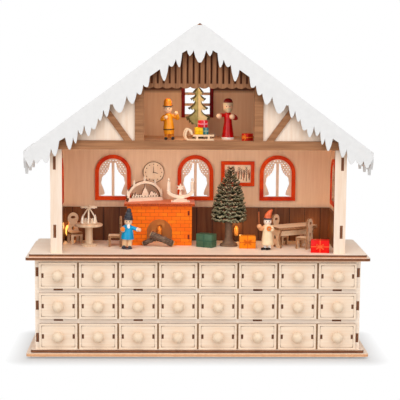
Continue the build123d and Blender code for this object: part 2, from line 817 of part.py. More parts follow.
def frame(plane, x, outward):
    """Arched window frame on a plane."""
    with BuildPart() as piece:
        with BuildSketch(plane):
            arch(x, window_z, window_width, window_height)
            arch(x, window_z + window_frame, pane_width, pane_height, mode=Mode.SUBTRACT)
        extrude(amount=outward * fret_ply)
    return piece.part


curtain_list = [curtain(front_plane(rear_in_y), x, 1) for x in window_x]
frame_list = [frame(front_plane(rear_in_y - fret_ply), x, 1) for x in window_x]
for side in (-1, 1):
    curtain_list.append(curtain(Plane.YZ.offset(side * wall_in), side_window_y, -side))
    frame_list.append(frame(Plane.YZ.offset(side * (wall_in - fret_ply)), side_window_y, -side))

window_curtains = Compound(label="window_curtains", children=curtain_list)
export_step(window_curtains, "parts/window_curtains.step")
window_frames = Compound(label="window_frames", children=frame_list)
export_step(window_frames, "parts/window_frames.step")

# Wainscot with upright grooves on the back wall and both side walls
wainscot_top = room_z + wainscot_height
with BuildPart() as back_wainscot:
    with BuildSketch(front_plane(rear_in_y)):
        span(-wall_in, wall_in, room_z, wainscot_top)
    extrude(amount=thin_ply)
    with BuildSketch(front_plane(wall_y + groove_depth)):
        groove_pairs = int(room_half / groove_pitch)
        for groove in range(-groove_pairs, groove_pairs + 1):
            x = groove * groove_pitch
            span(x - groove_width / 2, x + groove_width / 2, room_z - overrun, wainscot_top + overrun)
    extrude(amount=groove_depth, mode=Mode.SUBTRACT)


def side_wainscot(side):
    """Wainscot on the left (-1) or the right (1) wall."""
    face = side * room_half
    with BuildPart() as piece:
        with BuildSketch(Plane.YZ.offset(side * wall_in)):
            span(house_in_y, wall_y, room_z, wainscot_top)
        extrude(amount=-side * thin_ply)
        with BuildSketch(Plane.YZ.offset(face)):
            for groove in range(1, int(room_depth / groove_pitch) + 1):
                y = wall_y - groove * groove_pitch
                span(y - groove_width / 2, y + groove_width / 2, room_z - overrun, wainscot_top + overrun)
        extrude(amount=side * groove_depth, mode=Mode.SUBTRACT)
    return piece.part


wainscot = Compound(label="wainscot", children=[back_wainscot.part, side_wainscot(-1), side_wainscot(1)])
export_step(wainscot, "parts/wainscot.step")

# Attic floor between the walls
with BuildPart() as attic_floor:
    with BuildSketch(Plane.XY.offset(attic_z - board)):
        span(-wall_in, wall_in, house_in_y, rear_in_y)
    extrude(amount=board)
attic_floor.part.label = "attic_floor"
export_step(attic_floor.part, "parts/attic_floor.step")

# Roof panels, mitred at the ridge and cut plumb at the eaves
with BuildPart() as roof_left:
    with BuildSketch(front_plane(roof_back)):
        eave_z = under_roof(eave_x)
        Polygon(
            (0, ridge_z),
            (0, ridge_z + panel_rise),
            (-eave_x, eave_z + panel_rise),
            (-eave_x, eave_z),
            align=None,
        )
    extrude(amount=roof_back - roof_front)
roof_right = mirror(roof_left.part, about=Plane.YZ)
roof_panels = Compound(label="roof_panels", children=[roof_left.part, roof_right])
export_step(roof_panels, "parts/roof_panels.step")

# Snow board with icicles in front of the roof
icicle_edge = [(snow_half * x_share, icicle_drop * drop_share) for x_share, drop_share in icicle_shares]


def icicle_side(root, tip):
    """Bulging side of an icicle between its root and its tip."""
    return [[r + (t - r) * share for r, t, share in zip(root, tip, way)] for way in icicle_side_shares]


soft_edge = icicle_edge[:1]
for near, far in zip(icicle_edge, icicle_edge[1:]):
    soft_edge += icicle_side(near, far) if far[1] > near[1] else reversed(icicle_side(far, near))
    soft_edge.append(far)
left_edge = [(-x, snow_top(x) - drop) for x, drop in soft_edge]
right_edge = [(-x, z) for x, z in reversed(left_edge[:-1])]
nose_z = snow_top(snow_half) - snow_nose
snow_outline = (
    (-ridge_flat, snow_top(ridge_flat)),
    (-snow_half + snow_nose, snow_top(snow_half - snow_nose)),
    (-snow_half, nose_z),
    *left_edge,
    *right_edge,
    (snow_half, nose_z),
    (snow_half - snow_nose, snow_top(snow_half - snow_nose)),
    (ridge_flat, snow_top(ridge_flat)),
)
with BuildPart() as snow_front:
    with BuildSketch(front_plane(roof_front)):
        Polygon(*snow_outline, align=None)
    extrude(amount=board)
snow_front.part.label = "snow_front"
export_step(snow_front.part, "parts/snow_front.step")


# Eave boards hung with icicles, along both sides of the roof
def eave_board(side):
    """Snow board under the eave at the left (-1) or the right (1)."""
    head = under_roof(eave_x) + panel_rise
    pitch = (roof_back - roof_front) / eave_icicles
    edge = [(roof_front, head), (roof_front, head - eave_drop * eave_notch_share)]
    for icicle in range(eave_icicles):
        start = roof_front + icicle * pitch
        drop = eave_drop * eave_tip_shares[icicle % len(eave_tip_shares)]
        edge += [(start + pitch / 2, head - drop), (start + pitch, head - eave_drop * eave_notch_share)]
    with BuildPart() as piece:
        with BuildSketch(Plane.YZ.offset(side * eave_x)):
            Polygon(*edge, (roof_back, head), align=None)
        extrude(amount=side * board)
    return piece.part


snow_eaves = Compound(label="snow_eaves", children=[eave_board(-1), eave_board(1)])
export_step(snow_eaves, "parts/snow_eaves.step")

# Wall clock with an engraved dial, and a framed picture, on the back wall
clock_x = clock_x_share * room_half
clock_z = room_z + clock_z_share * ceiling_height
with BuildPart() as wall_clock:
    with BuildSketch(front_plane(rear_in_y)):
        with Locations((clock_x, clock_z)):
            Circle(clock_diameter / 2)
    extrude(amount=thin_ply)
    with BuildSketch(front_plane(wall_y + engraving)):
        dial = clock_diameter / 2 - clock_rim
        with Locations((clock_x, clock_z)):
            with PolarLocations(dial, 12):
                Circle(clock_dot / 2)
            Rectangle(clock_line, dial * clock_minute_share, align=(Align.CENTER, Align.MIN))
        with Locations(Location((clock_x, clock_z), clock_hour_angle)):
            Rectangle(clock_diameter * clock_hour_share, clock_line, align=(Align.MIN, Align.CENTER))
    extrude(amount=engraving, mode=Mode.SUBTRACT)

picture_x = picture_x_share * room_half
picture_z = room_z + picture_z_share * ceiling_height
with BuildPart() as picture_panel:
    with BuildSketch(front_plane(rear_in_y)):
        with Locations((picture_x, picture_z)):
            Rectangle(picture_width, picture_height)
    extrude(amount=fret_ply)
with BuildPart() as picture_surround:
    with BuildSketch(front_plane(rear_in_y - fret_ply)):
        with Locations((picture_x, picture_z)):
            Rectangle(picture_width, picture_height)
            inner_width = picture_width - 2 * picture_frame
            Rectangle(inner_width, picture_height - 2 * picture_frame, mode=Mode.SUBTRACT)
    extrude(amount=fret_ply)
wall_ornaments = Compound(
    label="wall_ornaments", children=[wall_clock.part, picture_panel.part, picture_surround.part]
)
export_step(wall_ornaments, "parts/wall_ornaments.step")

# Fireplace: brick front with an arched hearth, two cheeks, mantel and two leaning logs
fireplace_x = fireplace_x_share * room_half
hearth_y = wall_y - fireplace_depth
chimney_y = rear_in_y - 2 * fret_ply  # the fireplace ends in the plane of the window frames
fireplace_top = room_z + fireplace_height
cheek_mid = fireplace_width / 2 - cheek_inset - thin_ply / 2
cheek_tab_z = [room_z + share * fireplace_height for share in cheek_tab_shares]

with BuildPart() as fireplace_front:
    with BuildSketch(front_plane(hearth_y + board)):
        span(fireplace_x - fireplace_width / 2, fireplace_x + fireplace_width / 2, room_z, fireplace_top)
        arch(fireplace_x, room_z - overrun, hearth_width, hearth_height + overrun, mode=Mode.SUBTRACT)
        for z in cheek_tab_z:
            with Locations((fireplace_x - cheek_mid, z), (fireplace_x + cheek_mid, z)):
                Rectangle(thin_ply + slot_fit, cheek_tab + slot_fit, mode=Mode.SUBTRACT)
    extrude(amount=board)


def cheek(side):
    """Cheek of the fireplace, tabbed through its front."""
    with BuildPart() as piece:
        with BuildSketch(Plane.YZ.offset(fireplace_x + side * cheek_mid - thin_ply / 2)):
            span(hearth_y + board, chimney_y, room_z, fireplace_top)
            for z in cheek_tab_z:
                span(hearth_y, hearth_y + board, z - cheek_tab / 2, z + cheek_tab / 2)
        extrude(amount=thin_ply)
    return piece.part


mantel_half = fireplace_width / 2 + mantel_reach
mantel_left = fireplace_x - mantel_half
mantel_y = hearth_y - mantel_reach
mantel_top = fireplace_top + board
mantel_right = fireplace_x + mantel_half
mantel = slab(mantel_left, mantel_right, mantel_y, chimney_y, fireplace_top, mantel_top)


def fire_log(layer, lower_x, side):
    """Log leaning sideways, in one of the layers in front of the hearth."""
    y = hearth_y - log_gap - log_diameter / 2 - layer * (log_diameter + log_gap)
    lift = log_diameter / 2 * cos(radians(log_slope))
    lean = (side * cos(radians(log_slope)), 0, sin(radians(log_slope)))
    return rod((lower_x, y, room_z + lift), lean, log_diameter, log_length)


logs = [
    fire_log(1, log_x_shares[0] * room_half, -1),
    fire_log(0, log_x_shares[1] * room_half, 1),
]
fireplace = Compound(
    label="fireplace", children=[fireplace_front.part, cheek(-1), cheek(1), mantel, *logs]
)
export_step(fireplace, "parts/fireplace.step")

# Tables
round_x, round_y, round_z = room_spot(round_table_shares)
column_height = table_height - table_top - round_foot_height
round_table = [
    rod((round_x, round_y, room_z), (0, 0, 1), round_foot_diameter, round_foot_height),
    rod((round_x, round_y, room_z + round_foot_height), (0, 0, 1), round_column_diameter, column_height),
    rod((round_x, round_y, room_z + table_height - table_top), (0, 0, 1), round_top_diameter, table_top),
]
dining_x, dining_y, dining_z = room_spot(dining_table_shares)
dining_table = [
    slab(
        dining_x - dining_width / 2,
        dining_x + dining_width / 2,
        dining_y - dining_depth / 2,
        dining_y + dining_depth / 2,
        room_z + dining_height - table_top,
        room_z + dining_height,
    )
]
for side in (-1, 1):
    for end in (-1, 1):
        leg_x = dining_x + side * (dining_width / 2 - dining_inset - dining_leg / 2)
        leg_y = dining_y + end * (dining_depth / 2 - dining_inset - dining_leg / 2)
        half_leg = dining_leg / 2
        leg_top = room_z + dining_height - table_top
        leg = slab(leg_x - half_leg, leg_x + half_leg, leg_y - half_leg, leg_y + half_leg, room_z, leg_top)
        dining_table.append(leg)
dining_upright = Axis((dining_x, dining_y, dining_z), (0, 0, 1))
dining_table = [piece.rotate(dining_upright, dining_turn) for piece in dining_table]
tables = Compound(label="tables", children=[*round_table, *dining_table])
export_step(tables, "parts/tables.step")


# Chairs, each of a back, a seat and a front leg plate
def chair(spot, turn):
    """Chair on a spot of the floor, its seat towards the front before it is turned."""
    leg_gap = seat_width / 2 - leg_width
    base = Plane(origin=spot, x_dir=(cos(radians(turn)), sin(radians(turn)), 0), z_dir=(0, 0, 1))

    def upright(y):
        return Plane(origin=base.from_local_coords((0, y, 0)), x_dir=base.x_dir, z_dir=-base.y_dir)

    with BuildPart() as back:
        with BuildSketch(upright(seat_depth / 2 + thin_ply)):
            with BuildSketch(mode=Mode.PRIVATE) as back_outline:
                span(-seat_width / 2, seat_width / 2, 0, chair_height)
                fillet(back_outline.vertices().group_by(Axis.Y)[-1], chair_rounding)
            add(back_outline.sketch)
            span(-leg_gap, leg_gap, -overrun, leg_height, mode=Mode.SUBTRACT)
            with Locations((0, chair_height - back_slot_drop)):
                SlotOverall(back_slot_width, back_slot_height, mode=Mode.SUBTRACT)
        extrude(amount=thin_ply)
    with BuildPart() as seat:
        with BuildSketch(base.offset(seat_height - thin_ply)):
            Rectangle(seat_width, seat_depth)
        extrude(amount=thin_ply)
    with BuildPart() as legs:
        with BuildSketch(upright(-seat_depth / 2 + thin_ply)):
            span(-seat_width / 2, seat_width / 2, 0, seat_height - thin_ply)
            span(-leg_gap, leg_gap, -overrun, leg_height, mode=Mode.SUBTRACT)
        extrude(amount=thin_ply)
    return [back.part, seat.part, legs.part]


chair_list = []
for shares, turn in zip(chair_place_shares, chair_turns):
    chair_list += chair(room_spot(shares), turn)
chairs = Compound(label="chairs", children=chair_list)
export_step(chairs, "parts/chairs.step")


# Candle arch and star holder on the mantel, candle pyramid on the round table
def mantel_spot(shares):
    """Place on the mantel from shares of its length and its depth."""
    return (mantel_left + shares[0] * 2 * mantel_half, mantel_y + shares[1] * (chimney_y - mantel_y))


arch_x, arch_y = mantel_spot(arch_shares)
arch_foot = mantel_top + arch_base_height
arch_base = slab(
    arch_x - arch_width / 2,
    arch_x + arch_width / 2,
    arch_y - arch_base_depth / 2,
    arch_y + arch_base_depth / 2,
    mantel_top,
    arch_foot,
)
with BuildPart() as arch_bow:
    with BuildSketch(front_plane(arch_y + thin_ply / 2)):
        with Locations((arch_x, arch_foot)):
            Ellipse(arch_width / 2, arch_height)
            Ellipse(arch_width / 2 - arch_rim, arch_height - arch_rim, mode=Mode.SUBTRACT)
        span(arch_x - arch_width, arch_x + arch_width, arch_foot - arch_height, arch_foot, mode=Mode.SUBTRACT)
    extrude(amount=thin_ply)
arch_lights = []
for candle in range(arch_candles):
    angle = radians(180 * (candle + 0.5) / arch_candles)
    candle_x = arch_x + arch_width / 2 * cos(angle)
    candle_z = arch_foot + arch_height * sin(angle) - arch_rim / 2
    arch_lights.append(rod((candle_x, arch_y, candle_z), (0, 0, 1), candle_diameter, candle_height))
arch_upright = Axis((arch_x, arch_y, mantel_top), (0, 0, 1))
candle_arch = joined(arch_base, arch_bow.part, *arch_lights).rotate(arch_upright, arch_turn)

star_x, star_y = mantel_spot(star_shares)
bowl_z = mantel_top + star_base_height + star_width / 2 - star_rim
with BuildPart() as star_bowl:
    with BuildSketch(front_plane(star_y + thin_ply / 2)):
        with Locations((star_x, bowl_z)):
            Circle(star_width / 2)
            Circle(star_width / 2 - star_rim, mode=Mode.SUBTRACT)
        span(star_x - star_width, star_x + star_width, bowl_z, bowl_z + star_width, mode=Mode.SUBTRACT)
        span(star_x - star_rim / 2, star_x + star_rim / 2, bowl_z - star_width / 2 + star_rim / 2, bowl_z)
        with Locations((star_x, bowl_z)):
            Circle(star_hub)
            with PolarLocations(0, star_points):
                Polygon((0, -star_hub), (star_radius, 0), (0, star_hub), align=None)
    extrude(amount=thin_ply)
star_base = slab(
    star_x - star_base_width / 2,
    star_x + star_base_width / 2,
    star_y - arch_base_depth / 2,
    star_y + arch_base_depth / 2,
    mantel_top,
    mantel_top + star_base_height,
)
star_lights = []
for side in (-1, 1):
    candle_x = star_x + side * (star_width / 2 - star_rim / 2)
    candle_foot = bowl_z - star_rim / 2
    star_candle = rod((candle_x, star_y, candle_foot), (0, 0, 1), star_candle_diameter, star_candle_height)
    star_lights.append(star_candle)
star_holder = joined(star_base, star_bowl.part, *star_lights)

pyramid_foot = room_z + table_height
pyramid_post_height = pyramid_height - pyramid_base_height
pyramid_pieces = [
    rod((round_x, round_y, pyramid_foot), (0, 0, 1), pyramid_base, pyramid_base_height),
    rod((round_x, round_y, pyramid_foot + pyramid_base_height), (0, 0, 1), pyramid_post, pyramid_post_height),
    rod(
        (round_x, round_y, pyramid_foot + pyramid_height - rotor_drop - rotor_thickness),
        (0, 0, 1),
        rotor_diameter,
        rotor_thickness,
    ),
]
leg_rise = pyramid_height - rotor_drop - rotor_thickness - pyramid_base_height
for corner in range(4):
    turn = radians(45 + 90 * corner)
    leg_reach = pyramid_base / 2 - pyramid_leg
    leg_start = (
        round_x + leg_reach * cos(turn),
        round_y + leg_reach * sin(turn),
        pyramid_foot + pyramid_base_height / 2,
    )
    leg_lean = (-pyramid_lean * cos(turn), -pyramid_lean * sin(turn), leg_rise)
    pyramid_pieces.append(rod(leg_start, leg_lean, pyramid_leg, leg_rise))
table_pyramid = joined(*pyramid_pieces)

miniature_ornaments = Compound(
    label="miniature_ornaments", children=[candle_arch, star_holder, table_pyramid]
)
export_step(miniature_ornaments, "parts/miniature_ornaments.step")

# Christmas tree: a turned stand and trunk that carries tiers of curled shavings
tree_spot = room_spot(tree_shares)
tree_x, tree_y, tree_z = tree_spot
tree_stand = turned(tree_spot, tree_stand_shares, tree_stand_diameter / 2, tree_skirt)
tier_shares = []
for tier in range(tree_tiers):
    low = tier / tree_tiers
    skirt_share = (1 - low) ** tree_swell
    tier_shares += [(skirt_share, low), (tier_waist_share * skirt_share, (tier + tier_top_share) / tree_tiers)]
tree_crown = turned(
    (tree_x, tree_y, tree_z + tree_skirt), tier_shares, tree_radius, tree_height - tree_skirt
)
christmas_tree = Compound(label="christmas_tree", children=[tree_stand, tree_crown])
export_step(christmas_tree, "parts/christmas_tree.step")

# Cut-out tree in the attic, on a small foot
cutout_x, cutout_y, cutout_z = attic_spot(cutout_tree_shares)
cutout_base = cutout_z + cutout_foot_height
half_tree = [(cutout_width / 2 * w_share, cutout_height * h_share) for w_share, h_share in cutout_shares]
branch_z = half_tree[0][1]
right_tree = [(cutout_trunk / 2, 0), (cutout_trunk / 2, branch_z), *half_tree]
left_tree = [(-x, z) for x, z in reversed(right_tree)]
with BuildPart() as cutout_tree:
    with BuildSketch(front_plane(cutout_y + board / 2)):
        points = [*right_tree, (0, cutout_height), *left_tree]
        Polygon(*[(cutout_x + x, cutout_base + z) for x, z in points], align=None)
    extrude(amount=board)
cutout_stand = rod((cutout_x, cutout_y, cutout_z), (0, 0, 1), cutout_foot, cutout_foot_height)
attic_tree = Compound(label="attic_tree", children=[cutout_tree.part, cutout_stand])
export_step(attic_tree, "parts/attic_tree.step")

# Sled with curled runners and a bed
sled_x, sled_y, sled_z = attic_spot(sled_shares)
bed_z = sled_z + sled_height
sled_tail = sled_x + sled_length / 2
sled_upright = Axis((sled_x, sled_y, sled_z), (0, 0, 1))
bed_x = sled_x - sled_length / 2 + 2 * sled_curl + parcel_gap


def runner(side):
    """Runner of the sled, with two struts and an open hook at its left end."""
    y = sled_y + side * (sled_width / 2 - sled_runner / 2)
    nose_x = sled_x - sled_length / 2 + sled_curl
    hook_z = sled_z + sled_hook_height / 2
    with BuildPart() as piece:
        with BuildSketch(front_plane(y + sled_runner / 2)):
            with Locations((nose_x, hook_z)):
                Ellipse(sled_curl, sled_hook_height / 2)
                Ellipse(sled_curl - sled_bar, sled_hook_height / 2 - sled_bar, mode=Mode.SUBTRACT)
            span(nose_x, nose_x + sled_curl, sled_z, hook_z, mode=Mode.SUBTRACT)
            span(nose_x, sled_tail, sled_z, sled_z + sled_bar)
            for share in sled_strut_shares:
                strut_x = bed_x + share * (sled_tail - bed_x)
                span(strut_x - sled_bar / 2, strut_x + sled_bar / 2, sled_z, bed_z - sled_bar)
        extrude(amount=sled_runner)
    return piece.part


sled_bed = slab(
    bed_x,
    sled_tail,
    sled_y - sled_width / 2,
    sled_y + sled_width / 2,
    bed_z - sled_bar,
    bed_z,
)
sled_pieces = [piece.rotate(sled_upright, sled_turn) for piece in (runner(-1), runner(1), sled_bed)]
sled = Compound(label="sled", children=sled_pieces)
export_step(sled, "parts/sled.step")


# Parcels on the floors and on the sled
def parcel(spot, shares, turn=0):
    """Parcel standing on a spot, turned about its upright."""
    x, y, z = spot
    width, depth, height = [parcel_size * share for share in shares]
    block = slab(x - width / 2, x + width / 2, y - depth / 2, y + depth / 2, z, z + height)
    return block.rotate(Axis(spot, (0, 0, 1)), turn)


load_x = (bed_x + sled_tail) / 2
yellow_x = load_x - (parcel_size * yellow_parcel_shares[0] + parcel_gap) / 2
teal_x = load_x + (parcel_size * teal_parcel_shares[0] + parcel_gap) / 2
load_top = bed_z + parcel_size * max(yellow_parcel_shares[2], teal_parcel_shares[2])
parcel_list = [
    parcel(room_spot(green_place_shares), green_parcel_shares, green_turn),
    parcel(room_spot(orange_place_shares), orange_parcel_shares),
    parcel(room_spot(red_place_shares), red_parcel_shares, red_turn),
    parcel(attic_spot(attic_place_shares), attic_parcel_shares),
]
sled_load = [
    parcel((yellow_x, sled_y, bed_z), yellow_parcel_shares),
    parcel((teal_x, sled_y, bed_z), teal_parcel_shares),
    parcel((load_x, sled_y, load_top), top_parcel_shares),
]
parcel_list += [load.rotate(sled_upright, sled_turn) for load in sled_load]
gift_parcels = Compound(label="gift_parcels", children=parcel_list)
export_step(gift_parcels, "parts/gift_parcels.step")


# Turned figures with turned arms that end in ball hands
def figure(spot, profile_shares, arm_shares, arm_angles):
    """Figure standing on a spot."""
    x, y, z = spot
    pieces = [turned(spot, profile_shares, figure_radius, figure_height)]
    for (shoulder_share, reach_share), (rise, turn) in zip(arm_shares, arm_angles):
        shoulder = (x, y, z + shoulder_share * figure_height)
        level = cos(radians(rise))
        lean = (level * cos(radians(turn)), level * sin(radians(turn)), sin(radians(rise)))
        reach = reach_share * figure_height
        pieces.append(turned(shoulder, arm_profile_shares, arm_diameter / 2, reach, lean))
    return joined(*pieces)


bowler_figure = figure(attic_spot(bowler_place_shares), bowler_shares, bowler_arm_shares, bowler_arm_angles)
robe_figure = figure(attic_spot(robe_place_shares), robe_shares, robe_arm_shares, robe_arm_angles)
coat_figure = figure(room_spot(coat_place_shares), coat_shares, coat_arm_shares, coat_arm_angles)
cook_figure = figure(room_spot(cook_place_shares), coat_shares, cook_arm_shares, cook_arm_angles)

attic_figures = Compound(label="attic_figures", children=[bowler_figure, robe_figure])
export_step(attic_figures, "parts/attic_figures.step")
room_figures = Compound(label="room_figures", children=[coat_figure, cook_figure])
export_step(room_figures, "parts/room_figures.step")

# Lamps in their holders along the back wall
lamp_list = []
bulb_shares = ((0.7, 0.0), (1.0, 0.25), (1.0, 0.7), (0.7, 0.92), (0.3, 1.0))
for x in lamp_x:
    lamp_list.append(rod((x, lamp_y, room_z), (0, 0, 1), lamp_holder, lamp_holder_height))
    bulb_foot = (x, lamp_y, room_z + lamp_holder_height)
    lamp_list.append(turned(bulb_foot, bulb_shares, lamp_bulb / 2, lamp_bulb_height))
lamps = Compound(label="lamps", children=lamp_list)
export_step(lamps, "parts/lamps.step")

# Wiring behind the drawers: a main wire under the deck, risers to the lamps, a drop to the inlet
wire_z = deck_z - wire_drop
inlet_y = back_y - inlet_length
wire_run = rod((lamp_x[0], lamp_y, wire_z), (1, 0, 0), wire_diameter, lamp_x[-1] - lamp_x[0])
risers = [rod((x, lamp_y, wire_z), (0, 0, 1), wire_diameter, room_z - wire_z) for x in lamp_x]
inlet_drop_wire = rod((0, lamp_y, inlet_z), (0, 0, 1), wire_diameter, wire_z - inlet_z)
inlet_tail = rod((0, lamp_y, inlet_z), (0, 1, 0), wire_diameter, inlet_y - lamp_y)
wire_bend = rod((0, lamp_y, inlet_z - wire_diameter / 2), (0, 0, 1), wire_diameter, wire_diameter)
harness = joined(wire_run, *risers, inlet_drop_wire, inlet_tail, wire_bend)
with BuildPart() as power_inlet:
    with BuildSketch(front_plane(back_y)):
        with Locations((0, inlet_z)):
            Circle(inlet_diameter / 2)
    extrude(amount=inlet_length)
    with BuildSketch(front_plane(back_y)):
        with Locations((0, inlet_z)):
            Circle(inlet_bore / 2)
    extrude(amount=inlet_bore_depth, mode=Mode.SUBTRACT)
lamp_wiring = Compound(label="lamp_wiring", children=[harness, power_inlet.part])
export_step(lamp_wiring, "parts/lamp_wiring.step")
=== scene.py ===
# %% [markdown]
# # A lit winter house on a chest of drawers
#
# The object is a wooden advent calendar: a chest of small drawers carries an open house with a
# furnished room, and an attic under a snowy roof. Nearly all of it is laser-cut plywood, so the
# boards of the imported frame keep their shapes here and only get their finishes. What was turned,
# painted, shaved or sawn fine by hand is made anew in this file and stands in for the plain solids.

# %% Load the frame
from math import cos, hypot, pi, radians, sin, tau

import bmesh
import bpy
from mathutils import Matrix, Vector
from mathutils.geometry import tessellate_polygon


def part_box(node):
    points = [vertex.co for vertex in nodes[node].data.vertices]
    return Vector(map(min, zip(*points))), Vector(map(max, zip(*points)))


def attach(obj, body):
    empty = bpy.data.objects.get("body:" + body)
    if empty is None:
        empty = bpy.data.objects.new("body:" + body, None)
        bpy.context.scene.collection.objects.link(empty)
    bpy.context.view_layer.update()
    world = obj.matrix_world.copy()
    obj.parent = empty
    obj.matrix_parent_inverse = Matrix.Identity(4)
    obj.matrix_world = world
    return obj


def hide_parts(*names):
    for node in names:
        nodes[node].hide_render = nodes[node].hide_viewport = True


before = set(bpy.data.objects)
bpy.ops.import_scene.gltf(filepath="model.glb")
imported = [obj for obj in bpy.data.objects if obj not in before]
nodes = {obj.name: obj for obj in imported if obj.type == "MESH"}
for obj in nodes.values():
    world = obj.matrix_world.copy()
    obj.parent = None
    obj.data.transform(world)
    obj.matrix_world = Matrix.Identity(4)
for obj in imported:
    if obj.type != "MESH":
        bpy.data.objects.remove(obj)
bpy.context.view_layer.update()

scene = bpy.context.scene
MM = 0.001

# %% [markdown]
# ## Camera
# A long lens a little above the deck and almost in front gives the flat, calm view of a catalogue
# picture. A camera could be aimed by hand or by a constraint. Here its three angles are turned into the
# camera's own axes, which go straight into its matrix, so every run gives the same view.

# %% Camera
CAMERA_SPOT = (-0.0421, -1.84115, 0.4469)
SENSOR_WIDTH, FOCAL_LENGTH = 36.0, 116.2
yaw, pitch, roll = radians(1.413), radians(7.153), radians(0.409)
ahead = Vector((sin(yaw) * cos(pitch), cos(yaw) * cos(pitch), -sin(pitch)))
level = Vector((cos(yaw), -sin(yaw), 0))
rise = level.cross(ahead)
right = level * cos(roll) + rise * sin(roll)
over = rise * cos(roll) - level * sin(roll)
lens = bpy.data.cameras.new("long_lens")
lens.sensor_width = SENSOR_WIDTH
lens.lens = FOCAL_LENGTH
camera = bpy.data.objects.new("camera", lens)
view_axes = Matrix((right, over, -ahead)).transposed().to_4x4()
camera.matrix_world = Matrix.Translation(CAMERA_SPOT) @ view_axes
scene.collection.objects.link(camera)
scene.camera = camera
scene.view_settings.view_transform = "Standard"
print("camera at", [round(v, 3) for v in camera.location])

# %% [markdown]
# ## Helpers for node trees
# Materials and Geometry Nodes are both trees of nodes, so one small class serves both: `add` makes a
# node, sets it up and gives back one of its outputs, ready to be fed into the next. A tree could be
# drawn by hand in the node editor, but in code one finish can be made from another with a few changed
# values. Colours are written as they look on a screen and turned into the linear values that shaders
# count in.


# %% Node helpers
def shade(red, green, blue):
    """Colour as it looks on a screen, 0 to 255, in the linear values of a shader."""

    def linear(value):
        value /= 255
        return value / 12.92 if value <= 0.04045 else ((value + 0.055) / 1.055) ** 2.4

    return (linear(red), linear(green), linear(blue), 1.0)


class Wiring:
    """A node tree under construction."""

    def __init__(self, tree):
        self.tree = tree

    def feed(self, socket, value):
        if isinstance(value, bpy.types.NodeSocket):
            self.tree.links.new(value, socket)
        else:
            socket.default_value = value

    def add(self, kind, *values, out=0, named=None, **settings):
        node = self.tree.nodes.new(kind)
        for setting, value in settings.items():
            setattr(node, setting, value)
        for socket, value in zip(node.inputs, values):
            if value is not None:
                self.feed(socket, value)
        for name, value in (named or {}).items():
            self.feed(node.inputs[name], value)
        return node.outputs[out]

    def math(self, operation, *values):
        return self.add("ShaderNodeMath", *values, operation=operation)

    def remap(self, value, low, high, first=0.0, last=1.0):
        return self.add("ShaderNodeMapRange", value, low, high, first, last)


print("middle grey is", round(shade(128, 128, 128)[0], 3), "in linear values")

# %% [markdown]
# ## Helper for finishes
# A finish is a material under construction. Its pattern could be a picture on an unwrapped mesh. Here it
# is worked out from the place on the object, in millimetres, so a pattern has a real size and runs on from
# board to board. Bare wood is nearly matt, so a finish starts with little gloss.

# %% Finish helper
RAW_WOOD_GLOSS = 0.25


class Finish(Wiring):
    """A material under construction, with its coordinates in millimetres of the object."""

    def __init__(self, name, **sockets):
        self.material = bpy.data.materials.new(name)
        self.material.use_nodes = True
        super().__init__(self.material.node_tree)
        self.shader = self.tree.nodes["Principled BSDF"]
        self.set("Specular_IOR_Level", RAW_WOOD_GLOSS)
        for socket, value in sockets.items():
            self.set(socket, value)

    def set(self, socket, value):
        self.feed(self.shader.inputs[socket.replace("_", " ")], value)

    def place(self, stretch=(1, 1, 1)):
        here = self.add("ShaderNodeTexCoord", out="Object")
        return self.add("ShaderNodeVectorMath", here, [s / MM for s in stretch], operation="MULTIPLY")

    def axis(self, vector, name):
        return self.add("ShaderNodeSeparateXYZ", vector, out=name)

    def facing(self, name):
        """How far a surface faces along an axis, from 0 to 1."""
        return self.math("ABSOLUTE", self.axis(self.add("ShaderNodeNewGeometry", out="True Normal"), name))

    def noise(self, stretch, detail=3.0, roughness=0.55):
        wanted = {"Vector": self.place(stretch), "Scale": 1.0, "Detail": detail, "Roughness": roughness}
        return self.add("ShaderNodeTexNoise", named=wanted)

    def mix(self, share, first, second, blend="MIX"):
        node = self.tree.nodes.new("ShaderNodeMix")
        node.data_type = "RGBA"
        node.blend_type = blend
        for number, value in ((0, share), (6, first), (7, second)):
            self.feed(node.inputs[number], value)
        return node.outputs[2]

    def relief(self, height, depth, strength=0.5):
        wanted = {"Height": height, "Distance": depth * MM, "Strength": strength}
        self.set("Normal", self.add("ShaderNodeBump", named=wanted))


print("gloss of raw wood:", RAW_WOOD_GLOSS)

# %% [markdown]
# ## Plywood
# Birch plywood is nearly plain: soft streaks a few millimetres wide that run along the grain. The
# laser burns the cut edges brown and leaves the layers of the sheet visible as thin bands. A board
# lies flat on one axis, so the shader calls a surface an edge where it does not face along that axis.
# The edges could also get a material of their own, face by face. The shader's way works on every board
# of the frame without touching its mesh.

# %% Plywood finishes
AXES = "XYZ"
BURNT = (shade(92, 52, 30), shade(146, 92, 60))
EDGE_LIMIT = 0.5


def grain(finish, along, pale, dark, contrast=1.0):
    """Colour of a sawn face whose fibres run along an axis."""
    broad, fine = [0.28] * 3, [1.9] * 3
    broad[AXES.index(along)], fine[AXES.index(along)] = 0.018, 0.05
    streak = finish.remap(finish.noise(broad, 4.0), 0.36, 0.68)
    fibre = finish.remap(finish.noise(fine, 2.0), 0.35, 0.75)
    tone = finish.mix(finish.math("MULTIPLY", streak, 0.8 * contrast), pale, dark)
    tone = finish.mix(finish.math("MULTIPLY", fibre, 0.45 * contrast), tone, dark)
    finish.set("Roughness", finish.remap(fibre, 0.0, 1.0, 0.48, 0.66))
    finish.relief(fibre, 0.08, 0.35)
    return tone


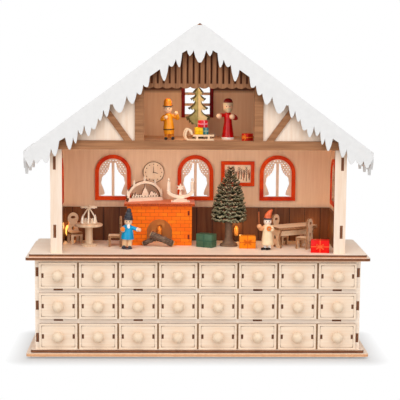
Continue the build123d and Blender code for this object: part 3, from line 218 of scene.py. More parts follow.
def burnt_edge(finish, sheet, thickness=4.0, colours=BURNT):
    """Colour of a laser-cut edge of a sheet that lies flat on an axis, with its layers."""
    across = finish.axis(finish.place(), sheet)
    layer = finish.math("PINGPONG", across, thickness / 3)
    layer = finish.remap(layer, 0.25, 0.95)
    char = finish.mix(layer, *colours)
    scorch = finish.remap(finish.noise((0.15, 0.15, 0.15), 3.0), 0.35, 0.7, 0.0, 0.55)
    return finish.mix(scorch, char, colours[0])


def board(finish, sheet, face, rim):
    """Material of a board, with one colour on its face and another where the sheet was cut."""
    edge = finish.math("LESS_THAN", finish.facing(sheet), EDGE_LIMIT)
    finish.set("Base_Color", finish.mix(edge, face, rim))
    return finish.material


def ply(name, sheet, along, pale, dark, contrast=1.0, thickness=4.0, colours=BURNT):
    """Plywood board that lies flat on one axis, its fibres along another."""
    finish = Finish(name)
    face = grain(finish, along, pale, dark, contrast)
    return board(finish, sheet, face, burnt_edge(finish, sheet, thickness, colours))


def dress(node, material):
    """Gives a board of the frame its finish."""
    nodes[node].data.materials.clear()
    nodes[node].data.materials.append(material)


print("edges burnt from", len(BURNT), "tones")

# %% [markdown]
# ## Boards
# Chest and house are cut from the same birch, and only the grain turns with the use of a board: along
# the length of shelves and decks, upright on walls. The timber frame and the slats of the gable are
# stained brown. Each board could have a material of its own, but boards that lie the same way share one,
# so a change of tone is made in one place.

# %% Boards
birch = (shade(250, 229, 210), shade(237, 206, 178))
stain = (shade(178, 124, 84), shade(130, 84, 52))
plinth_rim = (shade(214, 150, 106), shade(246, 196, 152))
board_finishes = {
    "birch_flat": ply("birch_flat", "Z", "X", *birch),
    "birch_front": ply("birch_front", "Y", "X", *birch),
    "birch_upright": ply("birch_upright", "Y", "Z", *birch, contrast=0.8),
    "birch_plinth": ply("birch_plinth", "Z", "X", *birch, colours=plinth_rim),
    "birch_side": ply("birch_side", "X", "Z", *birch),
    "house_side": ply("house_side", "X", "Z", shade(246, 214, 184), shade(232, 194, 160)),
    "stained_beam": ply("stained_beam", "Y", "X", *stain),
    "stained_slat": ply("stained_slat", "Y", "Z", shade(162, 110, 74), shade(114, 72, 44)),
    # The attic floor is the birch of the walls painted darker: painted shade for the dim attic.
    "attic_board": ply("attic_board", "Z", "X", shade(222, 178, 142), shade(204, 156, 118)),
    "roof_board": ply("roof_board", "Z", "Y", *birch),
}
boards = {
    "birch_flat": "chest_floor drawer_shelves",
    "birch_plinth": "plinth_board",
    "birch_front": "chest_back",
    "birch_upright": "house_front",
    "birch_side": "chest_side_panels drawer_dividers",
    "house_side": "house_side_walls",
    "stained_beam": "timber_frame",
    "stained_slat": "gable_slats",
    "attic_board": "attic_floor",
    "roof_board": "roof_panels",
}
for finish_name, members in boards.items():
    for member in members.split():
        dress(member, board_finishes[finish_name])
print("plywood on", sum(len(members.split()) for members in boards.values()), "nodes")

# %% [markdown]
# ## Back wall and decks
# Two kinds of board are more than plain. The back wall has painted shade on its inner face behind the
# slats of the gable, the dark of the space under the roof, so that the slots read as slots. The edges of
# the two decks turn paler towards their bottom. Both could be separate thin pieces. A height test in the
# shader gives the same line without a seam in the mesh.

# %% Back wall and decks
GABLE_SHADE = (366.0, 372.0)
PALE_LAYER = (0.6, 1.2)
deck_layers = {"deck_lower": shade(184, 130, 92), "deck_upper": shade(248, 190, 152)}


def back_wall_finish():
    """Birch wall with painted shade on its inner face behind the slats of the gable."""
    finish = Finish("back_wall")
    face = grain(finish, "Z", shade(246, 214, 182), shade(232, 194, 160), 0.8)
    normal = finish.add("ShaderNodeNewGeometry", out="True Normal")
    inner = finish.math("LESS_THAN", finish.axis(normal, "Y"), -EDGE_LIMIT)
    high = finish.remap(finish.axis(finish.place(), "Z"), *GABLE_SHADE)
    # Painted shade: the inner face turns dark at the height of the gable slats.
    face = finish.mix(finish.math("MULTIPLY", inner, high), face, shade(92, 54, 32))
    return board(finish, "Y", face, burnt_edge(finish, "Y"))


def deck_finish(node, bottom_layer):
    """Deck board whose edge is paler along its bottom than above."""
    finish = Finish(node + "_birch")
    # The face is painted lighter than the birch of the other boards: painted light against the shade of the
    # eaves on the decks.
    face = grain(finish, "X", shade(255, 238, 220), shade(248, 222, 198))
    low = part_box(node)[0][2] / MM
    limits = [low + height for height in PALE_LAYER]
    burnt = finish.remap(finish.axis(finish.place(), "Z"), *limits)
    return board(finish, "Z", face, finish.mix(burnt, bottom_layer, burnt_edge(finish, "Z")))


for deck, bottom_layer in deck_layers.items():
    dress(deck, deck_finish(deck, bottom_layer))
dress("house_back", back_wall_finish())
print("decks with a pale layer:", len(deck_layers))

# %% [markdown]
# ## Drawers
# All drawers have the same face, repeated along a grid, so one material dresses them all: it folds the
# object's coordinates back into a single cell of the grid and then works in that cell. The face has an
# engraved border that the laser marked darker at the corners, and the burnt ends of the two tray sides
# show as dark dashes. The edges of the face and the rims of the tray are burnt, the ball knob is plain.
# Thin meshes could draw the border, but a line that is burnt into the face has no height of its own.

# %% Drawer finish
PITCH_X, PITCH_Z, ROW_Z = 55.9, 43.3, 11.5
FACE_MID_Z, FACE_Y, INNER_Y, TRAY_RIM = 18.7, -64.45, -61.45, 29.0
BORDER_HALF_X, BORDER_HALF_Z, LINE_HALF = 23.2, 15.0, 0.42
TAB_X, TAB_HALF_X, TAB_HALF_Z = 21.5, 1.56, 3.2
HALF_COLUMNS = 4.0


def drawer_finish():
    """Drawer with an engraved face, burnt edges and a plain turned knob."""
    finish = Finish("drawer_birch")
    place = finish.place()
    x, y, z = [finish.axis(place, name) for name in AXES]
    cell_x = finish.math("ADD", finish.math("DIVIDE", x, PITCH_X), HALF_COLUMNS)
    cell_x = finish.math("ABSOLUTE", finish.math("SUBTRACT", finish.math("FRACT", cell_x), 0.5))
    u = finish.math("MULTIPLY", cell_x, PITCH_X)
    cell_z = finish.math("FRACT", finish.math("DIVIDE", finish.math("SUBTRACT", z, ROW_Z), PITCH_Z))
    tray_z = finish.math("MULTIPLY", cell_z, PITCH_Z)
    v = finish.math("ABSOLUTE", finish.math("SUBTRACT", tray_z, FACE_MID_Z))

    def within_box(half_x, half_z):
        inside_x = finish.math("LESS_THAN", u, half_x)
        return finish.math("MULTIPLY", inside_x, finish.math("LESS_THAN", v, half_z))

    face = grain(finish, "X", shade(250, 230, 208), shade(240, 210, 180), 0.8)
    front = finish.math("LESS_THAN", y, INNER_Y + 0.05)
    flat = finish.math("GREATER_THAN", finish.facing("Y"), EDGE_LIMIT)

    # Engraved border: inside the outer rectangle and outside the inner one
    outer = within_box(BORDER_HALF_X + LINE_HALF, BORDER_HALF_Z + LINE_HALF)
    inner = within_box(BORDER_HALF_X - LINE_HALF, BORDER_HALF_Z - LINE_HALF)
    line = finish.math("MULTIPLY", finish.math("SUBTRACT", outer, inner), front)
    corner = finish.math("MULTIPLY", finish.remap(u, 17.0, 23.0), finish.remap(v, 10.0, 14.5))
    line = finish.math("MULTIPLY", line, finish.remap(corner, 0.0, 1.0, 0.16, 0.9))
    face = finish.mix(line, face, shade(120, 74, 42))

    # Ends of the tray sides in their slots
    tab = finish.math("COMPARE", u, TAB_X, TAB_HALF_X)
    tab = finish.math("MULTIPLY", tab, finish.math("LESS_THAN", v, TAB_HALF_Z))
    tab = finish.math("MULTIPLY", tab, finish.math("COMPARE", y, FACE_Y, 0.2))
    face = finish.mix(tab, face, shade(104, 64, 38))

    # Burnt edges of the face, rims of the tray
    face_edge = finish.math("MULTIPLY", front, finish.math("SUBTRACT", 1.0, flat))
    knob = finish.math("LESS_THAN", y, FACE_Y - 0.02)
    face_edge = finish.math("MULTIPLY", face_edge, finish.math("SUBTRACT", 1.0, knob))
    rim = finish.math("MULTIPLY", finish.facing("Z"), finish.math("GREATER_THAN", tray_z, TRAY_RIM))
    rim = finish.math("MULTIPLY", rim, finish.math("SUBTRACT", 1.0, front))
    edge = finish.math("MAXIMUM", face_edge, rim)
    colour = finish.mix(edge, face, burnt_edge(finish, "Y", 3.0))
    # The knob is painted a shade darker than the face, to tone down its highlight.
    turned = grain(finish, "Y", shade(244, 222, 196), shade(234, 204, 172), 0.8)
    finish.set("Base_Color", finish.mix(knob, colour, turned))
    return finish.material


drawer_birch = drawer_finish()
drawers = [name for name in nodes if name.startswith("drawer_") and name[-2:].isdigit()]
for drawer in drawers:
    dress(drawer, drawer_birch)
print("drawer faces:", len(drawers))

# %% [markdown]
# ## Front frame
# The plate behind the drawer faces has one opening for each drawer. The narrow bars between two openings
# have painted shade, the shadow that falls into the gap between two drawer faces. They could be picked
# out as faces. The same grid as on the drawers finds them in the shader, so the two patterns always line
# up.

# %% Front frame
BAR_HALF, BAR_COLUMNS, OPENING_HALF_Z = 1.6, 3.5, 18.4


def front_frame_finish():
    """Frame of the drawer openings, with painted shade on the narrow bars between two drawers."""
    finish = Finish("front_frame")
    # The face is painted a little lighter than the birch of the chest: painted light against the shade of
    # the drawer faces on the rails.
    face = grain(finish, "X", shade(255, 238, 220), shade(246, 220, 194))
    place = finish.place()
    x, z = finish.axis(place, "X"), finish.axis(place, "Z")
    beside = finish.math("ABSOLUTE", x)
    gap_shade = finish.math("LESS_THAN", finish.math("PINGPONG", beside, PITCH_X / 2), BAR_HALF)
    gap_shade = finish.math("MULTIPLY", gap_shade, finish.math("LESS_THAN", beside, PITCH_X * BAR_COLUMNS))
    cell_z = finish.math("FRACT", finish.math("DIVIDE", finish.math("SUBTRACT", z, ROW_Z), PITCH_Z))
    height = finish.math("SUBTRACT", finish.math("MULTIPLY", cell_z, PITCH_Z), FACE_MID_Z)
    height = finish.math("ABSOLUTE", height)
    gap_shade = finish.math("MULTIPLY", gap_shade, finish.math("LESS_THAN", height, OPENING_HALF_Z))
    # Painted shade of the deep gap between two drawer faces, laid on the bars.
    face = finish.mix(gap_shade, face, shade(190, 148, 108))
    return board(finish, "Y", face, burnt_edge(finish, "Y"))


dress("chest_front_frame", front_frame_finish())
print("front frame: bars", 2 * BAR_HALF, "mm wide")

# %% [markdown]
# ## Paint and stain
# Painted sheet is never one flat colour, because the brush leaves it thinner in places. Strokes could be
# drawn into a picture and wrapped round a piece. A cloudy noise that mixes two close tones needs no
# picture, and a faint relief takes the gloss off evenly lit faces. The turned figures are lacquered, so
# the same finish gets a clear coat there.


# %% Painted finishes
PAINT_GLOSS = 0.15


def paint(name, light, deep, roughness=0.5, coat=0.0, patch=0.12):
    """Brushed paint that varies between two close tones."""
    finish = Finish(name, Roughness=roughness, Coat_Weight=coat, Coat_Roughness=0.12)
    finish.set("Specular_IOR_Level", PAINT_GLOSS)
    cloud = finish.remap(finish.noise((patch, patch, patch), 4.0), 0.35, 0.68)
    brush = finish.remap(finish.noise((0.9, 0.9, 0.9), 2.0), 0.3, 0.75)
    tone = finish.mix(finish.math("MULTIPLY", cloud, 0.8), light, deep)
    finish.set("Base_Color", finish.mix(finish.math("MULTIPLY", brush, 0.35), tone, deep))
    finish.relief(brush, 0.05, 0.25)
    return finish.material


def lacquer(name, light, deep):
    """Paint under a clear coat, as on the turned figures."""
    return paint(name, light, deep, 0.32, 0.4)


snow_white = paint("snow_white", shade(231, 230, 229), shade(224, 223, 222), 0.7)
frame_red = paint("frame_red", shade(246, 88, 6), shade(182, 6, 2), 0.5, patch=0.035)
shutter_red = paint("shutter_red", shade(150, 18, 16), shade(110, 10, 10), 0.45)
wire_black = paint("wire_black", shade(40, 38, 36), shade(24, 22, 22), 0.35)
painted = {
    "snow_front": snow_white,
    "snow_eaves": snow_white,
    "window_frames": frame_red,
    "attic_shutters": shutter_red,
    "lamp_wiring": wire_black,
}
for node, material in painted.items():
    dress(node, material)
print("painted nodes:", len(painted))

# %% [markdown]
# ## Wainscot, feet, lamps and sled
# The lower wall of the room is lined with dark stained boards. The grooves between them could be cut into
# the mesh, but they are thin and even, so a triangle wave across the wall darkens them in the shader. The
# wall behind the hearth is a pale tan, unstained board with the glow of the hearth lamp painted in. A bulb
# and its holder are one solid, told apart by height. The sled is thin sheet, so its edge has layers of its
# own.

# %% Wainscot, feet, lamps and sled
FIRE_X, HEARTH_WALL_HALF = -54.9, 40.0
WALL_HALF_X, WALL_Y = 195.0, 58.85
BOARD_PITCH, GROOVE_HALF = 23.0, 0.55
BULB_FOOT = 155.6
CORNER_LAMP = (-150.0, -149.0)
SLED_SHEET = 2.4


def wainscot_finish():
    """Dark stained boards with a shadow in the grooves, and behind the hearth a pale tan with the lamp's
    glow painted in.
    """
    finish = Finish("wainscot_brown")
    tone = grain(finish, "Z", shade(124, 78, 48), shade(82, 46, 26))
    place = finish.place()
    x, y = finish.axis(place, "X"), finish.axis(place, "Y")
    beside = finish.math("ABSOLUTE", x)
    groove = finish.math("PINGPONG", beside, BOARD_PITCH / 2)
    groove = finish.math("MULTIPLY", finish.math("LESS_THAN", groove, GROOVE_HALF), finish.facing("Y"))
    groove = finish.math("MULTIPLY", groove, finish.math("LESS_THAN", beside, WALL_HALF_X))
    side = finish.math("PINGPONG", finish.math("SUBTRACT", WALL_Y, y), BOARD_PITCH / 2)
    side = finish.math("MULTIPLY", finish.math("LESS_THAN", side, GROOVE_HALF), finish.facing("X"))
    # Behind the hearth: unstained board with the glow of the hearth lamp painted in.
    hearth_glow = finish.math("COMPARE", x, FIRE_X, HEARTH_WALL_HALF)
    tone = finish.mix(hearth_glow, tone, shade(196, 156, 110))
    groove = finish.math("MULTIPLY", groove, finish.math("SUBTRACT", 1.0, hearth_glow))
    finish.set("Base_Color", finish.mix(finish.math("MAXIMUM", groove, side), tone, shade(44, 26, 18)))
    return finish.material


def foot_finish():
    """Turned foot of warm birch, its fibres across the object."""
    finish = Finish("foot_birch")
    finish.set("Base_Color", grain(finish, "X", shade(246, 200, 158), shade(226, 168, 122)))
    return finish.material


def lamp_finish():
    """Glowing bulb above a dark holder; the one in the left corner glows most."""
    finish = Finish("lamp_glow", Emission_Color=shade(255, 190, 92), Roughness=0.25)
    height = finish.axis(finish.place(), "Z")
    bulb = finish.math("GREATER_THAN", height, BULB_FOOT)
    core = finish.remap(finish.noise((0.5, 0.5, 0.5), 2.0), 0.3, 0.7, 0.6, 1.0)
    power = finish.remap(finish.axis(finish.place(), "X"), *CORNER_LAMP, 2.0, 0.04)
    finish.set("Emission_Strength", finish.math("MULTIPLY", finish.math("MULTIPLY", bulb, core), power))
    finish.set("Base_Color", finish.mix(bulb, shade(70, 52, 40), shade(208, 144, 72)))
    return finish.material


dress("wainscot", wainscot_finish())
dress("feet", foot_finish())
dress("lamps", lamp_finish())
sled_tones = (shade(248, 228, 196), shade(230, 196, 156))
sled_rim = (shade(190, 146, 100), shade(226, 190, 148))
dress("sled", ply("sled_birch", "Y", "X", *sled_tones, 0.8, SLED_SHEET, sled_rim))
print("wainscot boards:", BOARD_PITCH, "mm wide")

# %% [markdown]
# ## Helpers for hand-made pieces
# A `Carving` collects the shells of one piece, each with its own finish, in millimetres. It knows the
# few ways such things are made: turned on a lathe, sawn from sheet, bent from a rod or planed as a
# block. Modifiers such as Screw and Solidify could make the same shapes, but one mesh that is filled
# shell by shell keeps a piece of many small parts in one object. Every shell is closed and its normals
# are set as soon as it is added. Curves start as a few points that a soft line is drawn through.

# %% Lines and places
TINY = 1e-6


def smooth_line(points, steps=5):
    """Points of a soft curve through the given ones; a point given twice stays a corner."""
    line = [Vector(p) for p in points]
    ends = [line[0], *line, line[-1]]
    soft = []
    for a, b, c, d in zip(ends, ends[1:], ends[2:], ends[3:]):
        if (c - b).length < TINY:
            continue
        for step in range(steps):
            t = step / steps
            square = 2 * a - 5 * b + 4 * c - d
            cube = 3 * b - a - 3 * c + d
            soft.append(0.5 * (2 * b + (c - a) * t + square * t**2 + cube * t**3))
    return [*soft, line[-1]]


def ball(radius, steps=12):
    """Profile of a ball that stands on its spot."""
    angles = [pi * k / steps for k in range(steps + 1)]
    return [(radius * sin(angle), radius * (1 - cos(angle))) for angle in angles]


def upright(x, y, z, turn=0.0):
    """Place of a sheet that stands up: across, up and into its depth, turned about the upright."""
    c, s = cos(radians(turn)), sin(radians(turn))
    return Matrix(((c, 0, -s, x), (s, 0, c, y), (0, 1, 0, z), (0, 0, 0, 1)))


print("a ball's profile has", len(ball(1.0)), "points")


# %% Shells
class Shells:
    """The shells of one piece, collected in millimetres."""

    def __init__(self, name):
        self.name = name
        self.mesh = bmesh.new()
        self.finishes = []

    def slot(self, finish):
        if finish not in self.finishes:
            self.finishes.append(finish)
        return self.finishes.index(finish)

    def shell(self, points, faces, finish, smooth=True, edge=None, flat_faces=0):
        """Closed shell; faces after the first few may have the finish of an edge."""
        corners = [self.mesh.verts.new([v * MM for v in p]) for p in points]
        made = []
        for number, face in enumerate(faces):
            new = self.mesh.faces.new([corners[i] for i in face])
            new.material_index = self.slot(finish if edge is None or number < flat_faces else edge)
            new.smooth = smooth
            made.append(new)
        bmesh.ops.recalc_face_normals(self.mesh, faces=made)

    def tube(self, points, rings, finish):
        """Shell through rings of points; a ring of one point closes an end."""
        faces = []
        for low, high in zip(rings, rings[1:]):
            count = max(len(low), len(high))
            for k in range(count if count > 1 else 0):
                n = (k + 1) % count
                corners = [low[k % len(low)], low[n % len(low)], high[n % len(high)], high[k % len(high)]]
                faces.append(list(dict.fromkeys(corners)))
        self.shell(points, faces, finish)


print("shells are made by", Shells.shell.__name__, "and", Shells.tube.__name__)

# %% [markdown]
# ## Lathe and rod
# On a lathe a profile goes once round a line. A rod is much the same along a bent line: rings of points
# stand across it, each as wide as the rod is there. The Spin operator and a curve with a bevel could make
# both, but rings that are set point by point keep the number of faces small and the ends closed.


# %% Lathe and rod
class Turning(Shells):
    """Shells from the lathe, and round rods."""

    def turned(self, spot, profile, finish, direction=(0, 0, 1), sides=28):
        """Shape turned about a line from a spot: pairs of radius and height."""
        line = Vector(direction).normalized()
        across = line.orthogonal().normalized()
        aside = line.cross(across)
        profile = list(profile)
        if profile[0][0] > TINY:
            profile.insert(0, (0, profile[0][1]))
        if profile[-1][0] > TINY:
            profile.append((0, profile[-1][1]))
        points, rings = [], []
        for radius, height in profile:
            count = 1 if radius <= TINY else sides
            rings.append(range(len(points), len(points) + count))
            for k in range(count):
                out = across * cos(tau * k / sides) + aside * sin(tau * k / sides)
                points.append(Vector(spot) + line * height + out * max(radius, 0))
        self.tube(points, rings, finish)

    def limb(self, path, radii, finish, sides=10, steps=4):
        """Round rod along a soft line, with a radius at each of its points.

        Where two radii in a row are equal, the rod has its first radius all along.
        """
        middles = smooth_line(path, steps)
        sizes = smooth_line([(r, 0, 0) for r in radii], steps)
        if len(sizes) != len(middles):
            sizes = [Vector((radii[0], 0, 0))] * len(middles)
        points, rings = [], []
        start = (middles[1] - middles[0]).normalized()
        across = start.orthogonal().normalized()
        points.append(middles[0] - start * sizes[0].x * 0.5)
        rings.append([0])
        for number, middle in enumerate(middles):
            ahead_point = middles[min(number + 1, len(middles) - 1)]
            line = (ahead_point - middles[max(number - 1, 0)]).normalized()
            across = (across - line * across.dot(line)).normalized()
            aside = line.cross(across)
            rings.append(range(len(points), len(points) + sides))
            for k in range(sides):
                out = across * cos(tau * k / sides) + aside * sin(tau * k / sides)
                points.append(middle + out * sizes[number].x)
        rings.append([len(points)])
        points.append(middles[-1] + line * sizes[-1].x * 0.5)
        self.tube(points, rings, finish)


print("round shapes are made by", Turning.turned.__name__, "and", Turning.limb.__name__)

# %% [markdown]
# ## Saw and plane
# A sawn piece is an outline with holes, given the depth of its sheet. A filled curve could be extruded for
# it. Here the face is cut into triangles by Blender's own helper and the edge is added round it, so face
# and burnt edge get their finishes at once. A planed block is a cube with its edges bevelled a little.


# %% Saw and plane
class Sawing(Turning):
    """Shells sawn from sheet, and planed blocks."""

    def sawn(self, outline, holes, depth, place, face, edge):
        """Piece sawn from sheet: outline and holes on its face, and where the sheet stands."""
        loops = [outline, *holes]
        flat = [(u, v) for loop in loops for u, v in loop]
        count = len(flat)
        triangles = tessellate_polygon([[Vector((u, v, 0)) for u, v in loop] for loop in loops])
        near = [place @ Vector((u, v, 0)) for u, v in flat]
        far = [place @ Vector((u, v, depth)) for u, v in flat]
        faces = [list(t) for t in triangles] + [[i + count for i in reversed(t)] for t in triangles]
        sheet_faces = len(faces)
        start = 0
        for loop in loops:
            for k in range(len(loop)):
                a, b = start + k, start + (k + 1) % len(loop)
                faces.append([a, b, b + count, a + count])
            start += len(loop)
        self.shell(near + far, faces, face, False, edge, sheet_faces)

    def block(self, low, high, finish, soften=0.35):
        """Planed block between two corners, with softened edges."""
        box = bmesh.new()
        bmesh.ops.create_cube(box, size=1.0)
        size = [h - l for l, h in zip(low, high)]
        for vert in box.verts:
            vert.co = Vector([l + s * (c + 0.5) for l, s, c in zip(low, size, vert.co)])
        bmesh.ops.bevel(box, geom=box.edges[:], offset=soften, segments=2, profile=0.5, affect="EDGES")
        box.verts.index_update()
        points = [vert.co.copy() for vert in box.verts]
        faces = [[vert.index for vert in face.verts] for face in box.faces]
        box.free()
        self.shell(points, faces, finish, False)


print("flat shapes are made by", Sawing.sawn.__name__, "and", Sawing.block.__name__)

# %% [markdown]
# ## Finished piece
# A piece is finished when its shells become one object that stands for a solid of the frame and moves with
# the case. Shading could stay flat or smooth all over. Turned wood is smooth round its line and sharp at
# its steps, so edges above a certain angle are marked sharp.

# %% Finished piece
SHARP_ANGLE = radians(38)


class Carving(Sawing):
    """One hand-made piece, from its first shell to the object."""

    def grown(self, mesh, place, finish):
        """Takes in a mesh that a node tree made, in metres, at a place in millimetres."""
        place = place.copy()
        place.translation *= MM
        mesh.transform(place)
        before = set(self.mesh.faces)
        self.mesh.from_mesh(mesh)
        for face in set(self.mesh.faces) - before:
            face.material_index = self.slot(finish)

    def close(self, node, slot):
        """Makes the object, which stands for a solid of the frame."""
        mesh = bpy.data.meshes.new(self.name)
        self.mesh.to_mesh(mesh)
        self.mesh.free()
        for finish in self.finishes:
            mesh.materials.append(finish)
        mesh.set_sharp_from_angle(angle=SHARP_ANGLE)
        piece = bpy.data.objects.new(self.name, mesh)
        scene.collection.objects.link(piece)
        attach(piece, "case")
        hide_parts(node)
        print(self.name, "has", len(mesh.polygons), "faces in", len(self.finishes), "finishes")


print("carved pieces turn sharp at", round(SHARP_ANGLE, 2), "radians")

# %% [markdown]
# ## Node recipes
# What repeats many times is made by a Geometry Nodes tree, called a recipe here. It could stay on its piece
# as a modifier. These pieces collect many shells, so the tree runs once on a seed mesh, and the result is
# read back as a plain mesh.


# %% Recipe helpers
def new_recipe(name, **inputs):
    """Empty node tree with a geometry input, named inputs and a geometry output."""
    tree = bpy.data.node_groups.new(name, "GeometryNodeTree")
    tree.interface.new_socket("Seed", in_out="INPUT", socket_type="NodeSocketGeometry")
    for label, kind in inputs.items():
        tree.interface.new_socket(label, in_out="INPUT", socket_type="NodeSocket" + kind)
    tree.interface.new_socket("Result", in_out="OUTPUT", socket_type="NodeSocketGeometry")
    recipe = Wiring(tree)
    recipe.inputs = tree.nodes.new("NodeGroupInput").outputs
    recipe.output = tree.nodes.new("NodeGroupOutput").inputs[0]
    return recipe


def grow(recipe, seed, **values):
    """Runs a tree on a seed mesh and returns the plain mesh that comes out."""
    holder = bpy.data.objects.new("seed", seed)
    scene.collection.objects.link(holder)
    modifier = holder.modifiers.new("grow", "NODES")
    modifier.node_group = recipe.tree
    for item in recipe.tree.interface.items_tree:
        if item.in_out == "INPUT" and item.name in values:
            modifier[item.identifier] = values[item.name]
    finished = holder.evaluated_get(bpy.context.evaluated_depsgraph_get())
    result = bpy.data.meshes.new_from_object(finished)
    bpy.data.objects.remove(holder)
    return result


print("node trees so far:", len(bpy.data.node_groups))

# %% [markdown]
# ## Copies in a ring
# Dial marks, vanes, bowed legs and candles all stand in a ring. A loop could place the copies one by one,
# and so could an Array modifier with an empty to turn about. A Geometry Nodes tree makes them from one
# seed that already stands off the middle: an instance for each number, turned by that number. The
# instances are realized and get their finish inside the tree.

# %% Ring of copies
ring = new_recipe("ring_of_copies", Copies="Int", Start="Float", Finish="Material")
number = ring.add("GeometryNodeInputIndex")
turn = ring.math("MULTIPLY", ring.math("DIVIDE", number, ring.inputs["Copies"]), tau)
turn = ring.math("ADD", turn, ring.inputs["Start"])
spots = ring.add("GeometryNodeMeshLine", named={"Count": ring.inputs["Copies"], "Offset": (0, 0, 0)})
copies = ring.add(
    "GeometryNodeInstanceOnPoints",
    named={
        "Points": spots,
        "Instance": ring.inputs["Seed"],
        "Rotation": ring.add("ShaderNodeCombineXYZ", 0.0, 0.0, turn),
    },
)
copies = ring.add("GeometryNodeRealizeInstances", copies)
copies = ring.add("GeometryNodeSetMaterial", copies, named={"Material": ring.inputs["Finish"]})
ring.feed(ring.output, copies)


def seed_block(low, high, bend=None):
    """Small block in metres, its ends optionally pushed about by a function."""
    shape = bmesh.new()
    bmesh.ops.create_cube(shape, size=1.0)
    for vert in shape.verts:
        spot = Vector([l + (h - l) * (c + 0.5) for l, h, c in zip(low, high, vert.co)])
        vert.co = (bend(spot) if bend else spot) * MM
    mesh = bpy.data.meshes.new("seed")
    shape.to_mesh(mesh)
    shape.free()
    return mesh


print("recipe:", ring.tree.name)

# %% [markdown]
# ## One shaving
# The tree is made the old way: a turned stick is shaved with a chisel so that each shaving stays on and
# curls up. Hair particles could stand in for the shavings, but they have no curl that shows from close
# by. So one curled shaving is modelled as a thin strip of few faces, with an attribute along its length
# that the material can read.

# %% One shaving
STRAIGHT, RUN_OUT, SAG, CURL_TURN = 0.45, 0.72, 1.2, 1.45


def curled_shaving(length=15.0, width=2.8, thickness=0.4, curl=1.7, bends=11):
    """Strip that runs outwards and rolls up at its end, with an attribute along its length."""
    shape = bmesh.new()
    along = shape.verts.layers.float.new("along")
    rings = []
    for k in range(bends + 1):
        t = k / bends
        if t < STRAIGHT:
            spot = Vector((length * t / STRAIGHT * RUN_OUT, 0, -SAG * sin(pi * t / (2 * STRAIGHT))))
            out = Vector((0, 0, 1))
        else:
            rolled = (t - STRAIGHT) / (1 - STRAIGHT)
            roll_angle = rolled * CURL_TURN * pi
            radius = curl * (1 - 0.35 * rolled)
            middle = Vector((length * RUN_OUT, 0, curl - SAG))
            spot = middle + Vector((sin(roll_angle), 0, -cos(roll_angle))) * radius
            out = Vector((-sin(roll_angle), 0, cos(roll_angle)))
        half = width / 2 * (0.75 + 0.45 * t) * (1.0 if t < 0.8 else 1.0 - 2.2 * (t - 0.8))
        corners = []
        for side, lift in ((-1, 0), (1, 0), (1, 1), (-1, 1)):
            vert = shape.verts.new((spot + Vector((0, side * half, 0)) + out * thickness * lift) * MM)
            vert[along] = t
            corners.append(vert)
        rings.append(corners)
    for low, high in zip(rings, rings[1:]):
        for k in range(4):
            shape.faces.new([low[k], low[(k + 1) % 4], high[(k + 1) % 4], high[k]])
    shape.faces.new(rings[0])
    shape.faces.new(rings[-1])
    bmesh.ops.recalc_face_normals(shape, faces=shape.faces[:])
    mesh = bpy.data.meshes.new("shaving")
    shape.to_mesh(mesh)
    shape.free()
    return mesh


one_shaving = curled_shaving()
print("one shaving has", len(one_shaving.polygons), "faces")

# %% [markdown]
# ## Branches
# On the stick the shavings stand in layers, longer and flatter at the skirt, shorter and steeper towards
# the tip, and no two lie quite alike. They could be set by a loop with random numbers. A node tree does it
# with fixed seeds: it spreads the numbers over the layers, turns each by the golden angle so that no rows
# show, and scales and tilts it by its height.

# %% Branches
GOLDEN_ANGLE = 2.39996
LIFT_SEED, STRETCH_SEED = 7, 12
LIFT, SWAY = 0.045, 1.1
shaving = new_recipe(
    "shaved_branches",
    Count="Int",
    Layers="Int",
    Radius="Float",
    Height="Float",
    Reach="Float",
    Finish="Material",
)
number = shaving.add("GeometryNodeInputIndex")
share = shaving.math("DIVIDE", number, shaving.inputs["Count"])
height = shaving.math("SUBTRACT", 1.0, shaving.math("POWER", shaving.math("SUBTRACT", 1.0, share), 0.62))
layer = shaving.math("FLOOR", shaving.math("MULTIPLY", height, shaving.inputs["Layers"]))
layer = shaving.math("DIVIDE", layer, shaving.inputs["Layers"])
lift = shaving.add("FunctionNodeRandomValue", out=1, named={"Seed": LIFT_SEED})
uneven = shaving.math("SUBTRACT", lift, 0.5)
layer = shaving.math("ADD", layer, shaving.math("MULTIPLY", uneven, LIFT))
narrow = shaving.math("SUBTRACT", 1.0, layer)
size = shaving.remap(narrow, 0.0, 1.0, 0.42, 1.0)
turn = shaving.math("MULTIPLY", number, GOLDEN_ANGLE)
swell = shaving.math("SUBTRACT", 1.0, shaving.math("POWER", shaving.math("MAXIMUM", layer, 0.0), 2.1))
reach = shaving.math("SUBTRACT", shaving.math("MULTIPLY", swell, shaving.inputs["Radius"]),
                     shaving.math("MULTIPLY", size, shaving.inputs["Reach"]))
reach = shaving.math("MAXIMUM", reach, 0.0003)
lean = shaving.math("MULTIPLY", shaving.math("MULTIPLY", layer, layer), 0.003)
spot = shaving.add(
    "ShaderNodeCombineXYZ",
    shaving.math("MULTIPLY_ADD", reach, shaving.math("COSINE", turn), lean),
    shaving.math("MULTIPLY", reach, shaving.math("SINE", turn)),
    shaving.math("MULTIPLY", layer, shaving.inputs["Height"]),
)
line = shaving.add("GeometryNodeMeshLine", named={"Count": shaving.inputs["Count"], "Offset": (0, 0, 0)})
line = shaving.add("GeometryNodeSetPosition", named={"Geometry": line, "Position": spot})
tilt = shaving.remap(narrow, 0.0, 1.0, -0.75, -0.05)
sway = shaving.math("MULTIPLY", uneven, SWAY)
stretch = shaving.add("FunctionNodeRandomValue", out=1, named={"Seed": STRETCH_SEED})
stretch = shaving.remap(stretch, 0.0, 1.0, 0.74, 1.1)
